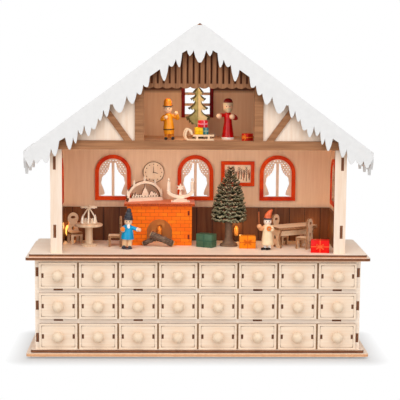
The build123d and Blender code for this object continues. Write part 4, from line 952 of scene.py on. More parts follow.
branches = shaving.add(
    "GeometryNodeInstanceOnPoints",
    named={
        "Points": line,
        "Instance": shaving.inputs["Seed"],
        "Rotation": shaving.add("ShaderNodeCombineXYZ", sway, tilt, turn),
        "Scale": shaving.add("ShaderNodeCombineXYZ", shaving.math("MULTIPLY", size, stretch), size, size),
    },
)
branches = shaving.add("GeometryNodeRealizeInstances", branches)
branches = shaving.add("GeometryNodeSetMaterial", branches, named={"Material": shaving.inputs["Finish"]})
shaving.feed(shaving.output, branches)
print("recipe:", shaving.tree.name)

# %% [markdown]
# ## Shaved tree
# The stick stands on a turned foot and was dyed. A shaving has painted shade at its root, deep between
# the layers, and a painted highlight on its curl, where the light catches it. Two materials on one strip
# would meet in a hard line. The attribute along the strip lets one material go softly from one tone to
# the other.

# %% Shaved tree
TREE_X, TREE_Y, ROOM_Z = 45.7, 12.0, 147.5
TREE_SKIRT, TREE_TOP, TREE_RADIUS, SHAVING_REACH = 37.0, 120.5, 26.3, 14.0
TREE_LIFT = 1.5


def shaving_finish():
    """Dyed green wood, with painted shade at the root of a shaving and a painted highlight on its curl."""
    finish = Finish("dyed_shavings", Roughness=0.62)
    along = finish.add("ShaderNodeAttribute", out="Fac", attribute_name="along")
    patch = finish.remap(finish.noise((0.22, 0.22, 0.22), 2.0), 0.35, 0.65)
    root = finish.mix(patch, shade(38, 46, 28), shade(68, 66, 40))
    curl = finish.mix(patch, shade(176, 172, 128), shade(238, 226, 190))
    fibre = finish.noise((2.4, 2.4, 0.5), 2.0)
    # Painted shade towards the root, painted highlight towards the curl.
    tone = finish.mix(finish.remap(along, 0.52, 0.86), root, curl)
    finish.set("Base_Color", finish.mix(finish.remap(fibre, 0.4, 0.75, 0.0, 0.5), tone, shade(58, 52, 34)))
    finish.relief(fibre, 0.06, 0.3)
    return finish.material


dyed_shavings = shaving_finish()
trunk_grey = paint("trunk_grey", shade(140, 110, 88), shade(102, 80, 64), 0.6)
shavings = grow(
    shaving,
    one_shaving,
    Count=720,
    Layers=14,
    Radius=(TREE_RADIUS + 0.9) * MM,
    Height=(TREE_TOP - TREE_SKIRT - 4.5) * MM,
    Reach=SHAVING_REACH * MM,
    Finish=dyed_shavings,
)
tree = Carving("shaved_tree")
stand = [(12.9, 0), (12.9, 0), (12.9, 2.2), (12.2, 3.2), (9.4, 5.0), (7.0, 8.0), (5.8, 13.0), (5.4, 22.0),
         (5.3, 34.0), (4.4, 42.0), (2.8, 80.0), (1.2, 106.0), (0.5, 111.0)]
stick = [(p.x, p.y) for p in smooth_line([(r, h, 0) for r, h in stand])]
tree.turned((TREE_X, TREE_Y, ROOM_Z), stick, trunk_grey)
tree.grown(shavings, Matrix.Translation((TREE_X, TREE_Y, ROOM_Z + TREE_SKIRT + TREE_LIFT)), dyed_shavings)
tree.close("christmas_tree", "wood_shavings")

# %% [markdown]
# ## Cut-out fir
# The attic tree is two sheets glued together: a dark green one whose tiers show as a rim, and a
# smaller pale one in front. The laser left a fringe of burnt needles under the tiers. The outlines could
# be traced point by point. Both sheets come from one short list of tier corners instead, and the fringe
# is a zigzag along the underside of each tier.


# %% Fir finishes
def sheet_finish(name, light, deep, along="Z"):
    """Stained face of a small sheet."""
    finish = Finish(name)
    finish.set("Base_Color", grain(finish, along, light, deep))
    return finish.material


def edge_finish(name, dark=BURNT[0], light=BURNT[1]):
    """Burnt edge of a small sheet."""
    finish = Finish(name, Roughness=0.7)
    burn = finish.remap(finish.noise((0.5, 0.5, 0.5), 3.0), 0.3, 0.7)
    finish.set("Base_Color", finish.mix(burn, dark, light))
    finish.relief(burn, 0.05, 0.3)
    return finish.material


def fir_face_finish():
    """Pale stained face of the fir, with painted shade on its left half."""
    finish = Finish("fir_pale", Roughness=0.6)
    cloud = finish.remap(finish.noise((0.12, 0.12, 0.12), 3.0), 0.35, 0.68)
    lit = finish.mix(cloud, shade(218, 202, 158), shade(186, 178, 124))
    dim = finish.mix(cloud, shade(166, 164, 112), shade(134, 132, 84))
    # Painted shade: the left half of the face is darker, the right half lighter.
    half = finish.remap(finish.axis(finish.place(), "X"), -0.4, 0.4)
    finish.set("Base_Color", finish.mix(half, dim, lit))
    finish.relief(cloud, 0.05, 0.25)
    return finish.material


fir_green = paint("fir_green", shade(104, 96, 60), shade(62, 52, 32), 0.6)
fir_pale = fir_face_finish()
fir_burnt = edge_finish("fir_burnt", shade(44, 30, 18), shade(88, 70, 42))
print("fir finishes:", fir_green.name, fir_pale.name, fir_burnt.name)

# %% Cut-out fir
ATTIC_Z = 303.4
FIR_Y, FIR_FOOT, FIR_HALF, FIR_HEIGHT = 14.85, 306.4, 18.0, 73.0
STEM_HALF, NEEDLES = 3.0, 6
FOLD_HALF, FOLD_LOW, FOLD_HIGH = 0.5, 0.38 * FIR_HEIGHT, 0.76 * FIR_HEIGHT
fir_steps = [
    (0.5, 0.235), (1.06, 0.37), (0.28, 0.52), (0.83, 0.555),
    (0.27, 0.69), (0.63, 0.74), (0.2, 0.835), (0.43, 0.87),
]
fir = Carving("cut_out_fir")


def fir_outline(half, height):
    """Outline of a fir, with a fringe of needles under each tier."""
    right_side = [(STEM_HALF, 0.0), (STEM_HALF, fir_steps[0][1] * height)]
    for (wide, high), (next_wide, next_high) in zip(fir_steps, fir_steps[1:]):
        right_side.append((wide * half, high * height))
        for k in range(1, NEEDLES):
            x = wide + (next_wide - wide) * k / NEEDLES
            z = high + (next_high - high) * k / NEEDLES
            if next_wide < wide:
                x = next_wide + (wide - next_wide) * (1 - k / NEEDLES) ** 1.8
            else:
                z += 0.024 if k % 2 else -0.022
            right_side.append((x * half, z * height))
    wide, high = fir_steps[-1]
    right_side.append((wide * half, high * height))
    return [*right_side, (0.0, height), *[(-x, z) for x, z in reversed(right_side)]]


outer_fir = fir_outline(FIR_HALF, FIR_HEIGHT)
fir.sawn(outer_fir, [], 2.4, upright(0, FIR_Y - 0.4, FIR_FOOT), fir_green, fir_burnt)
inner_fir = [(x + 0.5, z + 1.6) for x, z in fir_outline(FIR_HALF * 0.74, FIR_HEIGHT * 0.94)]
fir.sawn(inner_fir, [], 1.6, upright(0, FIR_Y - 2.0, FIR_FOOT), fir_pale, fir_burnt)
# The thin dark strip down the middle is painted shade where the shaded and the lit half meet.
fold = [(-FOLD_HALF, FOLD_LOW), (0.0, FOLD_LOW), (0.0, FOLD_HIGH), (-FOLD_HALF, FOLD_HIGH)]
fir.sawn(fold, [], 0.3, upright(0, FIR_Y - 2.1, FIR_FOOT), fir_burnt, fir_burnt)
foot = [(8.0, 0), (8.0, 0), (8.0, 2.2), (7.2, 3.0), (7.2, 3.0), (0, 3.0)]
fir.turned((0, FIR_Y, ATTIC_Z), foot, fir_green)
fir.close("attic_tree", "green_stain")

# %% [markdown]
# ## Turned figures
# Each figure is a stack of turned shapes: shoes, legs, coat, a ball for the head and a hat, all on one
# upright line, then bent arms with ball hands. A figure could be sculpted from one block, but it would
# lose the crisp steps that a lathe leaves. So profiles are pairs of radius and height, softened into a
# curve, and a pair written twice stays a sharp edge. Faces are two painted dots and a tiny ball nose.

# %% Figure finishes
skin = lacquer("skin_wood", shade(250, 214, 182), shade(238, 190, 152))
skin_pale = lacquer("skin_pale", shade(255, 236, 220), shade(248, 222, 200))
coat_yellow = lacquer("coat_yellow", shade(240, 166, 30), shade(222, 134, 14))
hat_orange = lacquer("hat_orange", shade(226, 142, 28), shade(196, 108, 16))
robe_red = lacquer("robe_red", shade(208, 6, 10), shade(162, 2, 6))
cap_red = lacquer("cap_red", shade(132, 14, 16), shade(96, 8, 10))
hair_cream = lacquer("hair_cream", shade(236, 220, 186), shade(206, 186, 148))
fur_white = lacquer("fur_white", shade(248, 244, 240), shade(230, 222, 216))
coat_blue = lacquer("coat_blue", shade(0, 164, 212), shade(0, 132, 186))
cap_grey = lacquer("cap_grey", shade(62, 64, 74), shade(38, 38, 46))
trouser_peach = lacquer("trouser_peach", shade(252, 214, 172), shade(236, 186, 134))
dress_cream = lacquer("dress_cream", shade(247, 224, 186), shade(234, 202, 158))
cap_coral = lacquer("cap_coral", shade(232, 112, 62), shade(206, 84, 40))
paint_black = lacquer("paint_black", shade(28, 26, 28), shade(14, 12, 14))
stick_brown = lacquer("stick_brown", shade(176, 92, 44), shade(134, 64, 28))
glove_peach = lacquer("glove_peach", shade(242, 178, 126), shade(224, 148, 96))
toy_orange = lacquer("toy_orange", shade(238, 132, 40), shade(214, 102, 24))
print("finishes so far:", len(bpy.data.materials))


# %% Figure helpers
def soft(profile, steps=4):
    """Profile softened into a curve, as pairs of radius and height."""
    return [(max(p.x, 0), p.y) for p in smooth_line([(r, h, 0) for r, h in profile], steps)]


class Figure:
    """Turned figure on a spot; places are given from the middle of its foot."""

    def __init__(self, carving, spot, lean=0.0):
        self.carving, self.spot = carving, Vector(spot)
        self.tilt = Matrix.Rotation(radians(lean), 3, "Y")

    def place(self, at):
        return self.spot + self.tilt @ Vector(at)

    def turn(self, profile, finish, at=(0, 0, 0), direction=(0, 0, 1)):
        self.carving.turned(self.place(at), soft(profile), finish, self.tilt @ Vector(direction))

    def ball(self, radius, at, finish):
        self.carving.turned(self.place(at) - Vector((0, 0, radius)), ball(radius), finish)

    def limb(self, path, radii, finish):
        self.carving.limb([self.place(p) for p in path], radii, finish)

    def face(self, radius, middle, gap=2.2, lift=0.8, tone=skin):
        """Ball head with dot eyes and a small nose."""
        self.ball(radius, (0, 0, middle), tone)
        for side in (-1, 1):
            depth = (radius**2 - gap**2 - lift**2) ** 0.5
            self.ball(0.75, (side * gap, -depth + 0.2, middle + lift), paint_black)
        self.ball(0.9, (0, -radius, middle - 0.6), tone)

    def shoes(self, gap, finish, radius=2.3):
        """Two shoes that point forwards and a little out."""
        for side in (-1, 1):
            x = side * gap
            path = [(x, 1.6, radius), (x, -1.5, radius), (x * 1.1, -5.0, radius * 0.9)]
            self.limb(path, [radius, radius, radius * 0.85], finish)


print("a figure has", Figure.face.__name__, "and", Figure.shoes.__name__)

# %% [markdown]
# ## Attic figures
# One figure has a bowler hat and a belted coat, with one hand raised. The other has a long robe, a beard
# and a cap. Straight arms would do for a rough model. Here each arm is a rod along a soft line of a few
# points, so the elbow bends as bent wood does.

# %% Attic figures
attic_people = Carving("attic_people")

bowler = Figure(attic_people, (-41.0, -12.0, ATTIC_Z), -3.0)
bowler.shoes(4.6, paint_black)
for side in (-1, 1):
    leg = [(side * 3.5, 0, 2.5), (side * 3.5, 0, 6.5), (side * 3.5, 0, 11.0)]
    bowler.limb(leg, [3.3, 3.4, 3.4], hat_orange)
bowler.turn([(0, 8.2), (6.9, 8.2), (6.9, 8.2), (7.3, 9.0), (7.7, 14.2), (7.7, 14.2)], coat_yellow)
bowler.turn([(7.9, 14.2), (7.9, 14.2), (8.0, 14.9), (7.9, 15.6), (7.9, 15.6)], paint_black)
torso = [(7.8, 15.6), (7.8, 15.6), (7.4, 20.0), (6.4, 28.0), (5.9, 33.0), (4.6, 36.4), (2.2, 38.0),
         (0, 38.2)]
bowler.turn(torso, coat_yellow)
bowler.face(6.3, 43.2)
brim = [(0, 47.4), (7.2, 47.4), (7.2, 47.4), (7.4, 47.9), (7.2, 48.4), (7.2, 48.4), (5.8, 48.7)]
bowler.turn(brim, paint_black)
crown = [(6.4, 48.6), (6.4, 48.6), (5.7, 50.2), (5.5, 54.0), (4.2, 57.2), (2.0, 58.4), (0, 58.5)]
bowler.turn(crown, hat_orange)
raised_arm = [(5.2, -0.5, 34.2), (10.0, -1.0, 31.5), (13.6, -2.6, 29.6), (12.8, -5.2, 33.4),
              (11.8, -6.2, 35.6)]
bowler.limb(raised_arm, [2.5, 2.7, 2.7, 2.6, 2.5], coat_yellow)
bowler.ball(2.7, (11.4, -6.6, 37.6), skin)
bent_arm = [(-5.2, -0.5, 34.2), (-8.2, -1.4, 31.2), (-9.0, -3.6, 28.8), (-5.6, -7.0, 30.6)]
bowler.limb(bent_arm, [2.5, 2.7, 2.7, 2.5], coat_yellow)
bowler.ball(2.8, (-3.2, -8.0, 32.4), skin)

robe = Figure(attic_people, (42.4, 0.5, ATTIC_Z))
robe.turn([(0, 0), (9.2, 0), (9.2, 0), (9.4, 1.4), (9.2, 2.8), (8.4, 3.4), (8.4, 3.4)], fur_white)
gown = [(8.7, 3.2), (8.7, 3.2), (8.3, 7.0), (6.7, 18.0), (5.6, 27.0), (5.7, 32.0), (4.8, 36.4),
        (2.4, 38.8), (0, 39.2)]
robe.turn(gown, robe_red)
robe.face(6.5, 46.2, 2.3, 1.2)
hair = [(0, 38.6), (4.2, 39.4), (6.3, 42.0), (7.0, 45.6), (7.1, 50.0), (5.0, 52.0), (0, 52.4)]
robe.turn(hair, hair_cream, at=(0, 1.3, 0))
beard = [(0, 37.4), (2.4, 38.4), (4.0, 41.0), (4.4, 44.0), (3.2, 45.6), (0, 46.0)]
robe.turn(beard, hair_cream, at=(0, -3.4, 0))
robe.turn([(0, 50.2), (7.1, 50.4), (7.4, 51.4), (7.0, 52.4), (0, 52.6)], hair_cream)
robe.turn([(6.8, 52.2), (6.8, 52.2), (6.5, 54.4), (4.8, 57.2), (2.2, 58.4), (0, 58.5)], cap_red)
robe.limb([(-4.6, -0.4, 34.6), (-8.6, -1.6, 34.4), (-11.6, -4.4, 33.8)], [2.5, 2.9, 3.0], robe_red)
robe.ball(4.0, (-13.0, -6.6, 33.4), skin)
bent_sleeve = [(4.6, -0.4, 34.6), (9.2, -1.2, 32.6), (11.2, -3.2, 30.2), (8.6, -6.0, 31.0)]
robe.limb(bent_sleeve, [2.5, 2.9, 3.0, 2.9], robe_red)
robe.ball(4.0, (5.6, -7.8, 32.8), skin)
attic_people.close("attic_figures", "figure_paint")

# %% [markdown]
# ## Room figures
# One figure wears a blue coat and a stepped cap and offers something with its left hand. The other has a
# pale dress, a pointed cap that flops to one side, a stick and a ring. The flopping cap could be a turned
# cone that is bent afterwards. A rod whose radius shrinks along a curved line is that shape at once.

# %% Room figures
room_people = Carving("room_people")

coat = Figure(room_people, (-101.2, -18.15, ROOM_Z), 3.2)
coat.turn([(0, 0), (7.4, 0), (7.4, 0), (7.6, 0.8), (7.2, 1.8), (7.2, 1.8), (0, 2.0)], cap_grey)
coat.shoes(4.0, cap_grey, 2.7)
for side in (-1, 1):
    legs = [(side * 3.6, 0, 4.0), (side * 3.6, 0, 9.0), (side * 3.5, 0, 16.0)]
    coat.limb(legs, [3.6, 3.6, 3.4], trouser_peach)
skirt = [(0, 14.4), (9.0, 14.4), (9.0, 14.4), (9.3, 15.2), (8.4, 22.0), (7.0, 29.0), (5.6, 33.4),
         (3.0, 35.6), (0, 36.0)]
coat.turn(skirt, coat_blue)
collar = [(0, 27.0), (1.6, 27.6), (2.6, 30.0), (2.6, 33.0), (1.6, 35.6), (0, 36.2)]
coat.turn(collar, fur_white, at=(0.6, -4.0, 0))
coat.face(5.7, 39.0, 2.0, 0.7)
cap = [(0, 42.0), (6.8, 42.2), (6.8, 42.2), (7.2, 43.0), (6.8, 43.9), (5.8, 44.3), (6.1, 46.2), (5.6, 48.0),
       (4.7, 48.5), (4.9, 50.4), (4.3, 52.4), (3.1, 53.0), (3.3, 55.0), (2.7, 57.0), (1.4, 58.3), (0, 58.5)]
coat.turn(cap, cap_grey)
coat.limb([(4.8, -0.6, 31.4), (9.4, -2.6, 30.2), (13.2, -4.4, 29.4)], [2.5, 2.6, 2.5], coat_blue)
cuff = [(2.9, 0), (2.9, 0), (3.0, 0.9), (2.8, 1.8), (2.8, 1.8)]
coat.turn(cuff, fur_white, (13.0, -4.3, 29.4), (0.9, -0.43, -0.1))
coat.limb([(14.6, -5.1, 29.2), (16.4, -5.9, 29.0), (18.2, -6.6, 28.8)], [2.3, 2.7, 2.4], skin)
coat.limb([(-4.8, -0.6, 31.4), (-8.0, -2.8, 28.4), (-7.6, -6.0, 26.8)], [2.5, 2.6, 2.5], coat_blue)
coat.ball(2.6, (-6.6, -7.8, 27.2), skin)
toy = [(0, 0), (3.0, 0), (3.0, 0), (3.2, 1.4), (3.0, 2.8), (0, 2.9)]
coat.turn(toy, toy_orange, (-7.2, -9.6, 29.2), (0, -1, 0.25))

cook = Figure(room_people, (99.3, -22.6, ROOM_Z))
for heel, toe in (((-2.0, 0.2, 1.8), (-8.2, -3.4, 1.6)), ((3.8, -0.6, 1.8), (-1.6, -4.8, 1.6))):
    middle = [(h + t) / 2 for h, t in zip(heel, toe)]
    cook.limb([heel, middle, toe], [1.9, 1.9, 1.6], paint_black)
for side in (-1, 1):
    leg = [(side * 3.1, 0, 2.5), (side * 3.1, 0, 5.0), (side * 3.1, 0, 9.0)]
    cook.limb(leg, [2.6, 2.6, 2.6], fur_white)
apron = [(0, 7.6), (8.2, 7.6), (8.2, 7.6), (8.5, 8.4), (7.8, 17.0), (6.5, 27.0), (5.9, 32.0), (4.4, 36.4),
         (2.0, 37.8), (0, 38.0)]
cook.turn(apron, dress_cream)
cook.face(5.6, 40.6, 2.0, 0.4, skin_pale)
cook.turn([(0, 43.8), (5.9, 43.8), (5.9, 43.8), (6.2, 44.7), (5.9, 45.7), (5.9, 45.7), (0, 45.9)], cap_grey)
cook.limb([(0, 0, 45.6), (0.8, 0, 49.6), (3.0, 0, 53.8), (6.4, 0, 57.4)], [5.5, 4.9, 3.6, 1.1], cap_coral)
cook.limb([(-4.6, -0.4, 33.6), (-8.4, -2.4, 30.4), (-11.2, -4.2, 31.6)], [2.4, 2.9, 3.2], glove_peach)
cook.ball(3.6, (-12.0, -4.8, 34.2), glove_peach)
cook.limb([(-12.3, -5.4, 30.6), (-12.7, -5.4, 43.0), (-13.2, -5.4, 55.0)], [1.1, 1.0, 1.1], stick_brown)
cook.limb([(4.6, -0.4, 33.6), (7.0, -3.4, 30.2), (5.0, -7.0, 29.4)], [2.4, 2.7, 2.4], dress_cream)
ring_path = [(1.8 + 2.5 * cos(tau * k / 8), -7.2, 31.2 + 2.5 * sin(tau * k / 8)) for k in range(9)]
cook.limb(ring_path, [1.15] * 9, toy_orange)
room_people.close("room_figures", "figure_paint")

# %% [markdown]
# ## Parcels
# The parcels are painted wooden blocks with softened edges. The ribbons could be lines in the paint, but
# they are thin bands that stand proud of the block by a fraction of a millimetre, so they catch the
# light. A bow is four short loops of round cord with a knot. Some parcels are turned a little, because
# they were set down by hand.

# %% One parcel
RIBBON_LIFT = 0.22
parcels = Carving("wrapped_parcels")


def wrapped(spot, size, paper, ribbon, turn_by=0.0, bow=None, band=1.5):
    """Parcel on a spot, with a ribbon over its middle both ways and perhaps a bow on its front."""
    part = Carving("parcel")
    w, d, h = [s / 2 for s in size]
    part.block((-w, -d, 0), (w, d, 2 * h), paper, 0.6)
    front, out_w = d + RIBBON_LIFT, w + RIBBON_LIFT
    part.block((-band / 2, -front, 0), (band / 2, front, 2 * h + RIBBON_LIFT), ribbon, 0.1)
    part.block((-out_w, -front, h - band / 2), (out_w, front, h + band / 2), ribbon, 0.1)
    if bow:
        for angle in (30, 150, 210, 330):
            out = Vector((cos(radians(angle)), 0, sin(radians(angle)))) * h * 0.62
            under = (out.x, -d - 0.9, h + out.z - 0.8)
            over_it = (out.x * 0.9, -d - 0.9, h + out.z + 0.9)
            loop = [(0, -d - 0.3, h), under, over_it, (0, -d - 0.4, h)]
            part.limb(loop, [0.4, 0.55, 0.55, 0.4], bow, 8)
        part.turned((0, -d - 0.2, h - 1.0), ball(1.0), bow)
    turned_by = Matrix.Translation(Vector(spot) * MM) @ Matrix.Rotation(radians(turn_by), 4, "Z")
    part.mesh.transform(turned_by)
    mesh = bpy.data.meshes.new("parcel")
    part.mesh.to_mesh(mesh)
    before = set(parcels.mesh.faces)
    parcels.mesh.from_mesh(mesh)
    for face in set(parcels.mesh.faces) - before:
        face.material_index = parcels.slot(part.finishes[face.material_index])
    part.mesh.free()
    bpy.data.meshes.remove(mesh)


print("ribbons stand", RIBBON_LIFT, "mm proud")

# %% Parcels
paper_green = paint("paper_green", shade(76, 112, 84), shade(58, 88, 66), 0.4, 0.12)
ribbon_green = paint("ribbon_green", shade(62, 100, 80), shade(46, 78, 62), 0.5)
paper_orange = paint("paper_orange", shade(250, 148, 10), shade(236, 122, 2), 0.4, 0.12)
ribbon_orange = paint("ribbon_orange", shade(228, 112, 14), shade(206, 92, 8), 0.5)
paper_red = paint("paper_red", shade(240, 12, 4), shade(220, 6, 4), 0.4, 0.12)
ribbon_gold = paint("ribbon_gold", shade(246, 156, 60), shade(226, 124, 36), 0.4)
ribbon_coral = paint("ribbon_coral", shade(255, 122, 64), shade(242, 92, 44), 0.4)
paper_ruby = paint("paper_ruby", shade(214, 36, 22), shade(180, 16, 12), 0.4, 0.3)
paper_yellow = paint("paper_yellow", shade(250, 208, 10), shade(236, 184, 4), 0.4, 0.3)
ribbon_amber = paint("ribbon_amber", shade(236, 186, 8), shade(214, 158, 6), 0.5)
paper_teal = paint("paper_teal", shade(52, 128, 132), shade(34, 98, 104), 0.4, 0.3)
ribbon_teal = paint("ribbon_teal", shade(196, 206, 180), shade(150, 172, 146), 0.5)
paper_pink = paint("paper_pink", shade(236, 34, 48), shade(206, 16, 30), 0.4, 0.3)
ribbon_rose = paint("ribbon_rose", shade(252, 190, 196), shade(240, 150, 160), 0.5)
SLED_DECK, UPPER_PARCEL = 312.0, 321.9

wrapped((12.9, 1.43, ROOM_Z), (25.6, 15.5, 19.3), paper_green, ribbon_green, -30.0)
wrapped((71.7, -6.71, ROOM_Z), (23.5, 15.7, 18.0), paper_orange, ribbon_orange, bow=ribbon_orange)
wrapped((172.7, -42.4, ROOM_Z), (26.0, 15.6, 17.6), paper_red, ribbon_coral, -8.0, ribbon_coral, 1.1)
wrapped((68.7, -28.05, ATTIC_Z), (12.2, 11.0, 10.7), paper_ruby, ribbon_gold, -46.0, ribbon_gold, 1.0)
wrapped((0.08, -23.64, SLED_DECK), (11.0, 10.5, 9.8), paper_yellow, ribbon_amber, 8.0, band=0.9)
wrapped((9.67, -22.29, SLED_DECK), (7.3, 10.5, 9.8), paper_teal, ribbon_teal, 8.0, band=0.9)
wrapped((5.84, -22.83, UPPER_PARCEL), (11.0, 10.0, 9.9), paper_pink, ribbon_rose, 24.0, band=1.2)
parcels.close("gift_parcels", "parcel_paint")

# %% [markdown]
# ## Fireplace
# The fireplace is a sawn plate with an arch, two cheeks behind it and a mantel on top. Bricks could be
# built one by one, but the laser only engraved their joints, so they are a texture with thin burnt lines,
# laid in millimetres: adding depth to width lets one pattern run round the corner. The logs are real
# twigs, so they get bark with deep splits and pale sawn ends.


# %% Fireplace finishes
def brick_finish():
    """Orange stain with engraved brick joints."""
    finish = Finish("brick_orange", Roughness=0.55, Specular_IOR_Level=0.2)
    place = finish.place()
    along = finish.math("ADD", finish.axis(place, "X"), finish.axis(place, "Y"))
    up = finish.math("SUBTRACT", finish.axis(place, "Z"), ROOM_Z - 0.2)
    wall = finish.add("ShaderNodeCombineXYZ", along, up, 0.0)
    wanted = {"Vector": wall, "Scale": 1.0, "Mortar Size": 0.3, "Mortar Smooth": 0.5, "Brick Width": 12.6,
              "Row Height": 5.35, "Color1": shade(255, 132, 10), "Color2": shade(246, 108, 6),
              "Mortar": shade(160, 52, 8)}
    bricks = finish.add("ShaderNodeTexBrick", named=wanted)
    cloud = finish.remap(finish.noise((0.07, 0.07, 0.07), 3.0), 0.35, 0.7, 0.0, 0.45)
    joints = finish.add("ShaderNodeTexBrick", named=wanted, out="Fac")
    finish.set("Base_Color", finish.mix(cloud, bricks, shade(232, 92, 6)))
    finish.relief(finish.math("SUBTRACT", 1.0, joints), 0.15, 0.5)
    return finish.material


def bark_finish():
    """Grey-brown bark, split along the twig."""
    finish = Finish("bark_grey", Roughness=0.85)
    split = finish.noise((0.35, 0.5, 1.1), 5.0, 0.65)
    deep = finish.remap(split, 0.38, 0.62)
    tone = finish.mix(deep, shade(62, 48, 40), shade(138, 112, 94))
    moss = finish.remap(finish.noise((0.12, 0.12, 0.12), 2.0), 0.5, 0.75, 0.0, 0.5)
    finish.set("Base_Color", finish.mix(moss, tone, shade(160, 134, 112)))
    finish.relief(deep, 0.6, 0.8)
    return finish.material


brick_orange, bark_grey = brick_finish(), bark_finish()
brick_edge = edge_finish("brick_edge", shade(120, 40, 14), shade(206, 86, 30))
mantel_salmon = sheet_finish("mantel_salmon", shade(252, 156, 116), shade(234, 124, 84), "X")
twig_end = sheet_finish("twig_end", shade(214, 178, 132), shade(170, 128, 88), "Y")
tab_dark = edge_finish("tab_dark", shade(96, 28, 12), shade(132, 44, 18))
print("brick and bark:", brick_orange.name, bark_grey.name)

# %% Fireplace
FIRE_Y, FIRE_TOP, FIRE_BACK, SHEET = 11.85, 205.3, 57.85, 4.0
FIRE_HALF, FIRE_HEIGHT, HEARTH, SPRING = 46.9, 57.8, 18.15, 20.25
CHEEK_OUT, CHEEK_HALF = 42.2, 1.5
MANTEL_HALF, MANTEL_FRONT = 51, 7.75
fire = Carving("brick_fireplace")
arch_line = [(HEARTH * cos(pi * k / 24), SPRING + HEARTH * sin(pi * k / 24)) for k in range(25)]
front_line = [
    (-FIRE_HALF, 0), (-HEARTH, 0), *reversed(arch_line), (HEARTH, 0),
    (FIRE_HALF, 0), (FIRE_HALF, FIRE_HEIGHT), (-FIRE_HALF, FIRE_HEIGHT),
]
fire.sawn(front_line, [], SHEET, upright(FIRE_X, FIRE_Y, ROOM_Z), brick_orange, brick_edge)
tab = [(-1.4, -3.4), (1.4, -3.4), (1.4, 3.4), (-1.4, 3.4)]
for side in (-1, 1):
    cheek_x = FIRE_X + side * CHEEK_OUT
    cheek_low = (cheek_x - CHEEK_HALF, FIRE_Y + SHEET, ROOM_Z)
    fire.block(cheek_low, (cheek_x + CHEEK_HALF, FIRE_BACK, FIRE_TOP), brick_orange, 0.1)
    for tab_z in (160.2, 194.9):
        fire.sawn(tab, [], 1.0, upright(cheek_x, FIRE_Y - 0.12, tab_z), tab_dark, tab_dark)
left, right_end = FIRE_X - MANTEL_HALF, FIRE_X + MANTEL_HALF
mantel_line = [(left, MANTEL_FRONT), (right_end, MANTEL_FRONT), (right_end, FIRE_BACK), (left, FIRE_BACK)]
lying = Matrix.Translation((0, 0, FIRE_TOP))
fire.sawn(mantel_line, [], SHEET, lying, mantel_salmon, brick_edge)
print("fireplace front:", 2 * FIRE_HALF, "mm wide")

# %% [markdown]
# ## Logs
# Two twigs lean on each other in front of the hearth. A plain cylinder would look machined, so each log is
# a rod along a line that wobbles by a fraction of a millimetre, with a radius that varies too. The waves
# are sines of the point's number, so every run gives the same log.

# %% Logs
LOG_LEAN = radians(24)
for low_x, low_y, side, length, thick in ((-36.2, -0.2, -1, 33, 4.8), (-77.6, 8.15, 1, 24, 3.6)):
    lean = Vector((side * cos(LOG_LEAN), 0, sin(LOG_LEAN)))
    low = Vector((low_x, low_y, ROOM_Z + thick))
    wobble = [Vector((0, 0.25 * sin(k * 1.9), 0.3 * cos(k * 2.3))) for k in range(9)]
    path = [low + lean * (length * k / 8) + wobble[k] for k in range(9)]
    fire.limb(path, [thick + 0.18 * sin(k * 2.7) for k in range(9)], bark_grey, 18)
    cut = [(thick - 0.6, 0), (thick - 0.6, 0), (thick - 0.7, 0.9), (0, 1.0)]
    for end, out in ((path[0], -lean), (path[-1], lean)):
        fire.turned(end + out * 1.0, cut, twig_end, out, 18)
fire.close("fireplace", "brick_paint")

# %% [markdown]
# ## Tables
# The tables are bare sheet and turned wood. The round one is turned: a foot, a stem and a top with a
# softened rim. The long one is a plank on two shaped end boards, with a stretcher between them. An end
# board could be a plain plate. Its waist is drawn for one side only and mirrored, as a sawyer would fold
# the pattern.

# %% Tables
bare_wood = sheet_finish("bare_wood", shade(250, 224, 192), shade(228, 194, 156), "X")
bare_edge = edge_finish("bare_edge", shade(120, 76, 46), shade(186, 138, 98))
turned_wood = sheet_finish("turned_wood", shade(238, 210, 180), shade(208, 172, 136))
tables = Carving("small_tables")
ROUND_X, ROUND_Y, TABLE = -156.9, 8.8, 32.0
stem = [(0, 0), (11.6, 0), (11.6, 0), (11.65, 1.6), (11.0, 2.9), (7.0, 3.4), (5.6, 4.4), (5.5, 8.0),
        (5.4, 18.0), (5.5, 25.0), (6.2, 28.4), (6.2, 28.4), (0, 28.5)]
tables.turned((ROUND_X, ROUND_Y, ROOM_Z), soft(stem), turned_wood, sides=40)
top = [(0, 28.5), (18.6, 28.5), (18.6, 28.5), (19.7, 29.2), (20.0, 30.2), (19.7, 31.4), (18.9, TABLE),
       (18.9, TABLE), (0, TABLE)]
tables.turned((ROUND_X, ROUND_Y, ROOM_Z), soft(top), turned_wood, sides=56)
LONG_SPOT, LONG_TURN, LONG_TOP, PLANK = (138.54, 14.63, ROOM_Z), radians(28), 30.0, 3.4
END_OUT, END_SHEET = 28.5, 3.0
long_place = Matrix.Translation(LONG_SPOT) @ Matrix.Rotation(LONG_TURN, 4, "Z")
plank = [(-33, -16), (33, -16), (33, 16), (-33, 16)]
plank_place = long_place @ Matrix.Translation((0, 0, LONG_TOP - PLANK))
tables.sawn(plank, [], PLANK, plank_place, bare_wood, bare_edge)
end_side = [(5.0, 0), (13.5, 0), (13.5, 3.0), (10.6, 6.4), (9.4, 11.0), (9.6, 16.0), (11.6, 21.0),
            (13.5, 23.6), (13.5, 26.6)]
end_arch = [(4.0 * cos(pi * k / 8), 4.0 * sin(pi * k / 8)) for k in range(9)]
end_line = [*reversed([(-x, z) for x, z in end_side]), *reversed(end_arch), *end_side]
end_hole = [(2.2 * cos(tau * k / 16), 14.5 + 2.6 * sin(tau * k / 16)) for k in range(16)]
